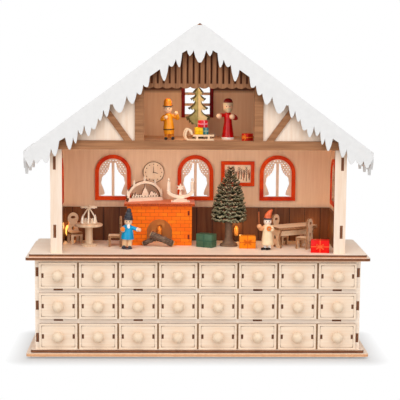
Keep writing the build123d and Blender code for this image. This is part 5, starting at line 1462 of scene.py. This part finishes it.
for side in (-1, 1):
    end_place = long_place @ Matrix.Translation((side * END_OUT, 0, 0)) @ Matrix.Rotation(pi / 2, 4, "Z")
    end_place = end_place @ upright(0, -END_SHEET / 2, 0)
    tables.sawn(end_line, [end_hole], END_SHEET, end_place, bare_wood, bare_edge)
stretcher = [(-27.0, 16.4), (27.0, 16.4), (27.0, 23.6), (-27.0, 23.6)]
tables.sawn(stretcher, [], 2.4, long_place @ upright(0, -6.0, 0), bare_wood, bare_edge)
tables.close("tables", "birch_ply")

# %% [markdown]
# ## Chairs
# A chair is three sawn plates: a back with a round head and holes to lift it by, a seat, and a front plate
# with two legs. The four chairs are the same, so the plates are drawn once and set down four times, each
# with its own turn. Instances would share one mesh, but the chairs are one piece here, so their plates
# simply go into one carving.

# %% Chairs
LEG_GAP, SEAT_HALF, SEAT_DEPTH, SEAT_Z, CHAIR_SHEET = 4.75, 8.75, 8.0, 13.5, 3.0
HEAD_Z, HEAD_RADIUS, LEG_TOP = 35.6, 8.4, 11.0
chairs = Carving("small_chairs")


def circle(x, z, radius, count=20, wide=1.0):
    """Round or oval hole."""
    angles = [tau * k / count for k in range(count)]
    return [(x + wide * radius * cos(angle), z + radius * sin(angle)) for angle in angles]


head_angles = [radians(angle) for angle in range(-40, 221, 13)]
head = [(HEAD_RADIUS * cos(angle), HEAD_Z + HEAD_RADIUS * sin(angle)) for angle in head_angles]
back_right = [(LEG_GAP, LEG_TOP), (LEG_GAP, 0), (SEAT_HALF, 0), (SEAT_HALF, 16.5), (7.4, 22.0), (6.2, 27.0)]
back_line = [*back_right, *head, *[(-x, z) for x, z in reversed(back_right)]]
back_holes = [circle(0, 37.0, 2.0, wide=1.9), circle(0, 20.6, 2.8, wide=0.8)]
leg_right = [(LEG_GAP, LEG_TOP), (LEG_GAP, 0), (SEAT_HALF, 0), (SEAT_HALF, SEAT_Z)]
front_legs = [*leg_right, *[(-x, z) for x, z in reversed(leg_right)]]
seat_line = [
    (-SEAT_HALF, -SEAT_DEPTH), (SEAT_HALF, -SEAT_DEPTH), (SEAT_HALF, SEAT_DEPTH), (-SEAT_HALF, SEAT_DEPTH),
]
chair_places = ((-178.6, 33.0, 24), (-120.2, 4.95, -90), (122.52, 25.19, 52), (152.02, -9.02, -121))
for chair_x, chair_y, chair_turn in chair_places:
    base = Matrix.Translation((chair_x, chair_y, ROOM_Z)) @ Matrix.Rotation(radians(chair_turn), 4, "Z")
    back_place, front_place = base @ upright(0, SEAT_DEPTH, 0), base @ upright(0, -SEAT_DEPTH, 0)
    chairs.sawn(back_line, back_holes, CHAIR_SHEET, back_place, bare_wood, bare_edge)
    chairs.sawn(front_legs, [], CHAIR_SHEET, front_place, bare_wood, bare_edge)
    chairs.sawn(seat_line, [], CHAIR_SHEET, base @ Matrix.Translation((0, 0, SEAT_Z)), bare_wood, bare_edge)
chairs.close("chairs", "birch_ply")

# %% [markdown]
# ## Candle arch
# On the mantel stands a candle arch: a bow over a fretted village scene, with five candles on top. A flat
# picture of the scene would do from far away. Sawn sheets with real thickness show the burnt edge of the
# real cut, and dark sheets a little larger behind the bow and the village are a painted shadow round the
# pale fretwork.

# %% Candle arch
MANTEL, SOLE = FIRE_TOP + SHEET, 5.0
ARCH_TURN, ARCH_SPOT = radians(24), (-77.03, 42.0, MANTEL)
BOW_STEP = 6
fret_wood = sheet_finish("fret_wood", shade(255, 244, 226), shade(248, 226, 198), "X")
fret_edge = edge_finish("fret_edge", shade(84, 50, 30), shade(150, 104, 70))
candle_wood = sheet_finish("candle_wood", shade(255, 248, 236), shade(250, 232, 208))
ornaments = Carving("small_ornaments")
arch_place = Matrix.Translation(ARCH_SPOT) @ Matrix.Rotation(ARCH_TURN, 4, "Z")
sole = [(-28, 0), (28, 0), (28, 1.6), (26.6, 2.0), (26.6, SOLE), (-26.6, SOLE), (-26.6, 2.0), (-28, 1.6)]
ornaments.sawn(sole, [], 9.0, arch_place @ upright(0, -4.5, 0), fret_wood, fret_edge)


def bow_point(angle, wide, high):
    """Point of an oval bow over the sole."""
    return (wide * cos(radians(angle)), SOLE + high * sin(radians(angle)))


def bow(outer, inner):
    """Outline of a bow between two ovals, each given by half its width and its height."""
    angles = range(0, 181, BOW_STEP)
    outside = [bow_point(angle, *outer) for angle in angles]
    return [*outside, *reversed([bow_point(angle, *inner) for angle in angles])]


# The dark bow and the dark sheet behind the village are painted shadow round the pale fretwork.
pale_bow, shadow_bow = bow((28.0, 24.0), (24.4, 20.2)), bow((28.6, 24.7), (23.6, 19.4))
ornaments.sawn(pale_bow, [], 3.0, arch_place @ upright(0, -1.5, 0), fret_wood, fret_edge)
ornaments.sawn(shadow_bow, [], 0.8, arch_place @ upright(0, 1.4, 0), fret_edge, fret_edge)
firs_left = [(-21.0, 4.6), (-20.4, 8.0), (-19.4, 8.0), (-18.2, 11.5), (-17.0, 8.0), (-15.6, 8.0),
             (-14.2, 12.6), (-12.8, 8.4), (-11.4, 9.6), (-9.4, 8.2), (-7.2, 9.4)]
spire = [(-5.6, 8.4), (-2.2, 17.0), (-0.8, 18.4), (0, 24.6), (0.8, 18.4), (2.2, 17.0), (5.6, 8.4)]
houses_right = [(7.2, 8.6), (8.6, 12.8), (10.0, 13.6), (12.0, 13.2), (13.4, 10.4), (14.8, 12.6),
                (16.2, 9.0), (17.6, 12.0), (19.0, 8.4), (20.4, 8.0), (21.0, 4.6)]
village = [*firs_left, *spire, *houses_right]
openings = [circle(x, 6.5, 1.15, 8, 0.8) for x in (-17.5, -13.0, -9.0, -5.0, 0.0, 5.0, 9.0, 13.0, 17.5)]
ornaments.sawn(village, openings, 1.6, arch_place @ upright(0, -1.9, 0), fret_wood, fret_edge)
# Painted shadow behind the village, a little larger than it.
shadow_backing = [(x * 1.05, z + 0.9 if z > SOLE else z) for x, z in village]
ornaments.sawn(shadow_backing, [], 0.8, arch_place @ upright(0, -0.4, 0), fret_edge, fret_edge)
candle_profile = [(0, 0), (2.0, 0), (2.0, 0), (2.1, 0.8), (1.7, 1.5), (1.6, 2.0), (1.5, 5.8), (0.8, 6.6),
                  (0.9, 7.6), (0, 9.0)]
for angle in (10, 52, 90, 128, 170):
    x, z = bow_point(angle, 27.0, 23.2)
    ornaments.turned(arch_place @ Vector((x, 0, z - 0.6)), soft(candle_profile), candle_wood, sides=12)
print("village outline:", len(village), "points")

# %% [markdown]
# ## Star holder
# Beside the arch a half ring carries two tall candles, with a star on a stem in its middle, over a stepped
# foot. The ring could be bent from a rod, but its flat front shows that it was sawn, so it is an outline of
# two ovals. The star's points come from one rule: every second corner lies further out.

# %% Star holder
STAR_X, STAR_Y, STAR_Z, ARM_Z = -24.6, 27.8, 21.3, 15.8
STAR_OUT, STAR_IN, STAR_CORNERS, STAR_SHEET = 6.4, 3.0, 12, 2.4
CANDLE_OUT, FOOT_HALF_Y = 17.2, 4.5
ring_angles = [radians(angle) for angle in range(180, 361, 9)]
inner_angles = [radians(angle) for angle in range(354, 185, -12)]
half_ring = [(19.8 * cos(angle), ARM_Z + 10.2 * sin(angle)) for angle in ring_angles]
inner_ring = [(14.4 * cos(angle), ARM_Z + 0.6 + 6.0 * sin(angle)) for angle in inner_angles]
ring_place = upright(STAR_X, STAR_Y - 1.5, MANTEL)
ornaments.sawn([*half_ring, *inner_ring], [], 3.0, ring_place, fret_wood, fret_edge)
star_place = upright(STAR_X, STAR_Y - STAR_SHEET / 2, MANTEL)
stem_line = [(-2.0, 8.0), (2.0, 8.0), (1.4, 16.0), (-1.4, 16.0)]
ornaments.sawn(stem_line, [], STAR_SHEET, star_place, fret_wood, fret_edge)
star = []
for k in range(STAR_CORNERS):
    reach = STAR_IN if k % 2 else STAR_OUT
    star.append((reach * sin(tau * k / STAR_CORNERS), STAR_Z + reach * cos(tau * k / STAR_CORNERS)))
ornaments.sawn(star, [], STAR_SHEET, star_place, fret_wood, fret_edge)
for half_width, low, high in ((13.4, 0.0, 2.2), (9.6, 2.2, 4.2), (6.0, 4.2, 6.2)):
    low_corner = (STAR_X - half_width, STAR_Y - FOOT_HALF_Y, MANTEL + low)
    high_corner = (STAR_X + half_width, STAR_Y + FOOT_HALF_Y, MANTEL + high)
    ornaments.block(low_corner, high_corner, fret_wood, 0.3)
tall_candle = [(0, 0), (2.6, 0), (2.6, 0), (3.0, 0.9), (2.5, 1.8), (2.5, 1.8), (2.5, 13.2), (2.3, 14.0),
               (1.0, 14.5), (0.9, 15.2), (1.6, 16.4), (1.8, 17.4), (1.1, 19.0), (0, 20.2)]
for side in (-1, 1):
    candle_spot = (STAR_X + side * CANDLE_OUT, STAR_Y, MANTEL + ARM_Z - 0.6)
    ornaments.turned(candle_spot, soft(tall_candle), candle_wood, sides=16)
print("star corners:", len(star))

# %% [markdown]
# ## Candle pyramid
# On the round table stands a candle pyramid: bowed legs over a round base, candles and tiny figures in a
# ring, and a wheel of vanes on the post. All of these repeat round the post, so each is made once as a
# seed and the ring recipe above sets the copies.

# %% Candle pyramid
PYRAMID_Z = ROOM_Z + TABLE
VANE_REACH, VANE_TILT = 12.0, 0.35
base = [(0, 0), (13.0, 0), (13.0, 0), (13.0, 1.4), (12.4, 2.0), (12.4, 2.0), (0, 2.0)]
ornaments.turned((ROUND_X, ROUND_Y, PYRAMID_Z), soft(base), turned_wood, sides=40)
post = [(0, 1.9), (2.6, 1.9), (2.6, 1.9), (2.7, 3.0), (1.2, 4.0), (1.0, 8.0), (0.9, 18.0), (1.2, 22.0),
        (1.6, 23.4), (0.7, 26.0), (0.3, 27.8), (0, 28.0)]
ornaments.turned((ROUND_X, ROUND_Y, PYRAMID_Z), soft(post), turned_wood, sides=16)
leg = Carving("leg")
leg_path = [(11.4, 0, 1.6), (9.4, 0, 8.0), (6.0, 0, 14.6), (2.4, 0, 20.2), (0.4, 0, 22.6)]
leg.limb(leg_path, [1.0] * len(leg_path), fret_wood, 8)
candle = Carving("candle")
candle.turned((8.9, 8.9, 1.8), soft([(r, h * 1.2) for r, h in candle_profile]), candle_wood, sides=12)
puppet = Carving("puppet")
puppet_profile = [(0, 0), (1.5, 0), (1.5, 0), (1.1, 2.4), (0.7, 3.8), (1.0, 4.6), (0.9, 5.6), (0, 6.2)]
puppet.turned((5.6, 0, 1.9), soft(puppet_profile), fret_wood, sides=12)


def seed_of(carving):
    """Mesh of a carving that will be copied by a node tree."""
    mesh = bpy.data.meshes.new(carving.name)
    carving.mesh.to_mesh(mesh)
    carving.mesh.free()
    return mesh


def tilted_vane(spot):
    """Turns the flat vane about its long axis and widens it outwards."""
    wide = 0.5 + 0.5 * spot.x / VANE_REACH
    return Vector((spot.x, spot.y * wide, spot.z + spot.y * wide * VANE_TILT))


pyramid_place = Matrix.Translation((ROUND_X, ROUND_Y, PYRAMID_Z))
vane = seed_block((1.2, -2.6, 23.9), (11.9, 2.6, 24.3), tilted_vane)
rings_of = (
    (seed_of(leg), 4, 0.0, fret_wood),
    (seed_of(candle), 4, 0.0, candle_wood),
    (seed_of(puppet), 6, 0.3, fret_wood),
    (vane, 10, 0.1, fret_wood),
)
for seed, count, start, material in rings_of:
    ring_mesh = grow(ring, seed, Copies=count, Start=start, Finish=material)
    ornaments.grown(ring_mesh, pyramid_place, material)
ornaments.close("miniature_ornaments", "birch_ply")

# %% [markdown]
# ## Curtains
# The curtains are fretwork in thin sheet: an arched pane with a mullion, two openings whose edges swing
# aside like drawn cloth, and rows of small lace holes above the ties. A see-through texture could draw the
# lace, but holes with real edges also hold from the side. They sit on a staggered grid, and only those
# that keep a safe distance from every cut are used, as a laser drawing would be checked.

# %% Outline of a curtain
SILL, RIM = 207.8, 5.6
PANE_HALF, PANE_HEIGHT, MULLION = 20.85, 56.2, 2.05
GAP_TOP, TIE_SHARE, SCALLOP, SCALLOP_PITCH = 0.885, 0.5, 0.42, 3.9
curtain_wood = sheet_finish("curtain_wood", shade(246, 220, 196), shade(226, 192, 164))
curtain_edge = edge_finish("curtain_edge", shade(128, 82, 52), shade(206, 160, 122))
swing = [(0.215, GAP_TOP), (0.265, 0.78), (0.345, 0.69), (0.495, 0.605), (0.70, 0.53), (0.78, 0.50),
         (0.80, 0.42), (0.84, 0.35), (0.775, 0.275), (0.675, 0.18), (0.60, 0.085), (0.65, 0.045),
         (0.85, 0.03), (0.88, 0.01)]


def arched(half_width, height, steps=24):
    """Outline of a window with a round head."""
    spring_z = height - half_width
    angles = [pi * k / steps for k in range(steps + 1)]
    head_line = [(half_width * cos(angle), spring_z + half_width * sin(angle)) for angle in angles]
    return [(-half_width, 0.0), (half_width, 0.0), *head_line]


gaps = []
for side in (-1, 1):
    edge_line = smooth_line([(side * PANE_HALF * w, RIM + PANE_HEIGHT * h, 0) for w, h in swing], 5)
    tie_z = RIM + PANE_HEIGHT * TIE_SHARE
    waves = [SCALLOP * sin(p.y * tau / SCALLOP_PITCH) * (p.y > tie_z) for p in edge_line]
    edge_line = [(p.x + side * wave, max(p.y, RIM + 0.2)) for p, wave in zip(edge_line, waves)]
    gaps.append([(side * MULLION, RIM + 0.2), (side * MULLION, RIM + PANE_HEIGHT * GAP_TOP), *edge_line])
pane_line = [(x, z + RIM - 1.0) for x, z in arched(PANE_HALF + 1.0, PANE_HEIGHT + 2.0)]
visible_line = [(x, z + RIM) for x, z in arched(PANE_HALF, PANE_HEIGHT)]
print("curtain gaps:", len(gaps), "with", len(gaps[0]), "points each")


# %% Lace holes and curtains
LACE_PITCH_X, LACE_PITCH_Z, LACE_FOOT, LACE_HOLE = 4.4, 3.2, 27.6, 0.95
CLEAR_OF_RIM, CLEAR_OF_GAP, CLEAR_OF_MULLION = 1.3, 1.45, 3.2
CURTAIN_SHEET, WALL_FACE = 2.0, 59.85
BACK_WINDOWS, SIDE_WINDOW_X, SIDE_WINDOW_Y = (-124.1, -2.3, 119.5), 196.4, 5.35


def away(point, loop):
    """Distance of a point from a closed line."""
    nearest = 1e9
    for (ax, az), (bx, bz) in zip(loop, [*loop[1:], loop[0]]):
        length = (bx - ax) ** 2 + (bz - az) ** 2
        along = (point[0] - ax) * (bx - ax) + (point[1] - az) * (bz - az)
        t = max(0.0, min(1.0, along / max(length, 1e-9)))
        nearest = min(nearest, hypot(point[0] - ax - t * (bx - ax), point[1] - az - t * (bz - az)))
    return nearest


def within(point, loop):
    """Whether a point lies inside a closed line."""
    inside = False
    for (ax, az), (bx, bz) in zip(loop, [*loop[1:], loop[0]]):
        if (az > point[1]) != (bz > point[1]) and point[0] < ax + (bx - ax) * (point[1] - az) / (bz - az):
            inside = not inside
    return inside


lace = []
for row in range(10):
    for column in range(-6, 7):
        hole = ((column + 0.5 * (row % 2)) * LACE_PITCH_X, RIM + LACE_FOOT + row * LACE_PITCH_Z)
        on_mullion = abs(hole[0]) < CLEAR_OF_MULLION and hole[1] < RIM + PANE_HEIGHT * 0.9
        if within(hole, visible_line) and not on_mullion and not any(within(hole, gap) for gap in gaps):
            gap_away = min(away(hole, gap) for gap in gaps)
            if away(hole, visible_line) > CLEAR_OF_RIM and gap_away > CLEAR_OF_GAP:
                lace.append(circle(*hole, LACE_HOLE, 10))

curtains = Carving("fretted_curtains")
curtain_places = [upright(window_x, WALL_FACE, SILL) for window_x in BACK_WINDOWS]
curtain_places += [upright(side * SIDE_WINDOW_X, SIDE_WINDOW_Y, SILL, -90 * side) for side in (-1, 1)]
for curtain_place in curtain_places:
    curtains.sawn(pane_line, [*gaps, *lace], CURTAIN_SHEET, curtain_place, curtain_wood, curtain_edge)
curtains.close("window_curtains", "birch_ply")

# %% [markdown]
# ## Clock
# The clock is a sawn disc with a burnt rim, twelve dots and two hands, all engraved. A texture could draw
# them, but on so small a disc it would blur. Here they are dark shapes a hair's breadth proud of the dial,
# and the dots are once more copies in a ring.

# %% Clock
DIAL, DIAL_RIM, DIAL_SIDES, MARK_OUT = 15.75, 15.0, 48, 11.9
CLOCK_X, CLOCK_Z, DIAL_Y = -64.1, 249.4, 58.85
dial_wood = sheet_finish("dial_wood", shade(255, 232, 202), shade(242, 210, 176))
engraved = edge_finish("engraved", shade(86, 50, 28), shade(120, 74, 44))
walls = Carving("wall_pieces")
facing_room = Matrix.Translation((CLOCK_X, DIAL_Y, CLOCK_Z)) @ Matrix.Rotation(pi / 2, 4, "X")
dial_line, rim_hole = circle(0, 0, DIAL, DIAL_SIDES), circle(0, 0, DIAL_RIM, DIAL_SIDES)
walls.sawn(dial_line, [], 3.0, upright(CLOCK_X, DIAL_Y, CLOCK_Z), dial_wood, engraved)
walls.sawn(dial_line, [rim_hole], 0.3, upright(CLOCK_X, DIAL_Y - 0.15, CLOCK_Z), engraved, engraved)
mark = Carving("mark")
mark.turned((MARK_OUT, 0, -0.1), [(0.75, 0), (0.75, 0.3)], engraved, sides=12)
walls.grown(grow(ring, seed_of(mark), Copies=12, Start=0.0, Finish=engraved), facing_room, engraved)
for length, turn_by, wide in ((10.2, 0, 0.45), (7.4, -105, 0.6)):
    waist, shoulder = wide * 0.7, length * 0.7
    hand = [(-wide, -1.2), (wide, -1.2), (waist, shoulder), (0, length), (-waist, shoulder)]
    c, s = cos(radians(turn_by)), sin(radians(turn_by))
    hand = [(x * c - z * s, x * s + z * c) for x, z in hand]
    walls.sawn(hand, [], 0.3, upright(CLOCK_X, DIAL_Y - 0.2, CLOCK_Z), engraved, engraved)
boss = [(1.0, -0.1), (1.0, -0.1), (0.9, 0.4), (0, 0.45)]
walls.turned((CLOCK_X, DIAL_Y, CLOCK_Z), boss, engraved, (0, -1, 0), 16)
print("dial:", 2 * DIAL, "mm across")

# %% [markdown]
# ## Picture
# A red frame holds a pale panel with a row of thin winter trees. They could be an image, but a few rods
# laid on the panel are enough at this size: a trunk that leans a little and twigs in pairs. Sines of the
# tree's number make them uneven, so every run draws the same trees.

# %% Picture
PICTURE_X, PICTURE_Z, PICTURE_SHEET = 60.38, 247.75, 2.0
PICTURE_TREES, TREE_PITCH, INK_Y = 15, 2.55, 59.8
picture_ground = sheet_finish("picture_ground", shade(255, 236, 210), shade(246, 214, 178))
sienna = edge_finish("sienna", shade(168, 84, 40), shade(214, 132, 84))
panel = [(-24.7, -18.5), (24.7, -18.5), (24.7, 18.5), (-24.7, 18.5)]
opening = [(-19.4, -13.2), (19.4, -13.2), (19.4, 13.2), (-19.4, 13.2)]
panel_place = upright(PICTURE_X, WALL_FACE, PICTURE_Z)
frame_place = upright(PICTURE_X, WALL_FACE - PICTURE_SHEET, PICTURE_Z)
walls.sawn(panel, [], PICTURE_SHEET, panel_place, picture_ground, engraved)
walls.sawn(panel, [opening], PICTURE_SHEET, frame_place, frame_red, brick_edge)
for number in range(PICTURE_TREES):
    ink = sienna if number % 3 == 1 else engraved
    x = PICTURE_X - 17.8 + number * TREE_PITCH + 0.8 * sin(number * 2.1)
    top_z = PICTURE_Z + 6.0 + 4.5 * sin(number * 1.7)
    foot_z = PICTURE_Z - 8.6 - 2.5 * cos(number * 2.6)
    trunk = [(x, INK_Y, foot_z), (x + 0.5, INK_Y, (foot_z + top_z) / 2), (x - 0.3, INK_Y, top_z)]
    walls.limb(trunk, [0.55, 0.42, 0.2], ink, 6)
    for side in (-1, 1):
        for k in range(4):
            low = foot_z + (top_z - foot_z) * (0.42 + 0.15 * k)
            bend, tip = (x + side * 1.0, INK_Y, low + 1.3), (x + side * 1.7, INK_Y, low + 3.0)
            twig = [(x + 0.2, INK_Y, low), bend, tip]
            walls.limb(twig, [0.3, 0.24, 0.16], ink, 6)
walls.close("wall_ornaments", "birch_ply")

# %% [markdown]
# ## Floor and background
# The picture is a bright product shot with a white surround and a faint shadow where the plinth stands.
# Stronger lamps would also turn the floor white, but they would bleach the wood. So the floor goes over
# into pure white away from the object, only for rays that are seen, and it still takes the shadow.

# %% Floor and background
SHADOW_HALF, SHADOW_FADE = (0.234, 0.078, 0.0), 0.035
SURROUND_LIGHT = 0.55


def seen_rays(wiring):
    """1 for rays that show the surround: straight from the camera, mirrored, or through glass."""
    path = wiring.tree.nodes.new("ShaderNodeLightPath")
    seen = wiring.math("MAXIMUM", path.outputs["Is Camera Ray"], path.outputs["Is Glossy Ray"])
    return wiring.math("MAXIMUM", seen, path.outputs["Is Transmission Ray"])


def floor_finish():
    """White floor that takes the shadow near the object and fades into the background."""
    finish = Finish("white_floor", Roughness=0.9)
    here = finish.add("ShaderNodeTexCoord", out="Object")
    past = finish.add("ShaderNodeVectorMath", here, operation="ABSOLUTE")
    past = finish.add("ShaderNodeVectorMath", past, SHADOW_HALF, operation="SUBTRACT")
    past = finish.add("ShaderNodeVectorMath", past, (0.0, 0.0, 0.0), operation="MAXIMUM")
    distance = finish.add("ShaderNodeVectorMath", past, operation="LENGTH", out="Value")
    spread = finish.remap(distance, 0.0, SHADOW_FADE, 0.3, 1.0)
    share = finish.math("MULTIPLY", seen_rays(finish), spread)
    cloud = finish.remap(finish.noise((0.004, 0.004, 0.004), 2.0), 0.3, 0.7)
    finish.set("Base_Color", finish.mix(cloud, shade(206, 206, 206), shade(210, 210, 210)))
    white = finish.add("ShaderNodeEmission", (1.0, 1.0, 1.0, 1.0), 1.0)
    blend = finish.add("ShaderNodeMixShader", share, finish.shader.outputs[0], white)
    finish.feed(finish.tree.nodes["Material Output"].inputs["Surface"], blend)
    return finish.material


floor_mesh = bpy.data.meshes.new("floor")
floor_mesh.from_pydata([(-6, -4, 0), (6, -4, 0), (6, 9, 0), (-6, 9, 0)], [], [(0, 1, 2, 3)])
floor_mesh.materials.append(floor_finish())
floor = bpy.data.objects.new("floor", floor_mesh)
scene.collection.objects.link(floor)

world = bpy.data.worlds.new("white_surround")
scene.world = world
world.use_nodes = True
sky = Wiring(world.node_tree)
background = world.node_tree.nodes["Background"]
background.inputs["Color"].default_value = (1.0, 1.0, 1.0, 1.0)
sky.feed(background.inputs["Strength"], sky.remap(seen_rays(sky), 0.0, 1.0, SURROUND_LIGHT, 1.0))
print("floor and surround:", floor.name, world.name)

# %% [markdown]
# ## Lamps
# Three large soft lamps give the even light of a studio: a key from the left, a fill from the right and
# one from above. One big lamp would leave the rooms dark. Small warm lamps stand where the bulbs are, and
# two hidden ones, in the attic and under the attic floor, stand for the light that bounces about in there.

# %% Lamps
BULB_SPOTS, BULB_Y, BULB_Z = (-190.9, FIRE_X, 58.8, 169.0), 41.0, 171.0
BULB_POWER, HEARTH_POWER = 0.016, 0.008


def soft_lamp(name, place, aim, size, power, colour=(1.0, 1.0, 1.0)):
    """Square soft lamp that looks at a point."""
    data = bpy.data.lights.new(name, "AREA")
    data.size, data.energy, data.color = size, power, colour
    lamp = bpy.data.objects.new(name, data)
    lamp.location = place
    lamp.rotation_euler = (Vector(aim) - Vector(place)).to_track_quat("-Z", "Y").to_euler()
    scene.collection.objects.link(lamp)
    return lamp


def glow(name, place, power, radius=4.0, colour=(1.0, 0.55, 0.2)):
    """Small warm lamp at a place in millimetres."""
    data = bpy.data.lights.new(name, "POINT")
    data.energy, data.color, data.shadow_soft_size = power, colour, radius * MM
    lamp = bpy.data.objects.new(name, data)
    lamp.location = Vector(place) * MM
    scene.collection.objects.link(lamp)
    return lamp


lamps = [
    soft_lamp("key", (-1.5, -2.3, 0.85), (0, 0, 0.2), 1.6, 14.4),
    soft_lamp("fill", (1.6, -2.3, 0.75), (0, 0, 0.2), 1.6, 12.2),
    soft_lamp("top", (0, -1.4, 2.0), (0, 0, 0.25), 1.6, 21.5),
]
for number, bulb_x in enumerate(BULB_SPOTS):
    power = HEARTH_POWER if bulb_x == FIRE_X else BULB_POWER
    lamps.append(glow(f"bulb_{number}", (bulb_x, BULB_Y, BULB_Z), power, 5.0))
attic_warm, room_warm = (1.0, 0.62, 0.32), (1.0, 0.7, 0.46)
attic_lamp = soft_lamp("attic_lamp", (-0.022, -0.03, 0.384), (-0.01, 0.0, 0.3), 0.03, 0.045, attic_warm)
room_lamp = soft_lamp("room_lamp", (0.0, -0.052, 0.2965), (0.0, 0.05, 0.215), 0.34, 0.17, room_warm)
room_lamp.data.shape, room_lamp.data.size_y = "RECTANGLE", 0.015
lamps += [attic_lamp, room_lamp]
print("lamps:", len(lamps))
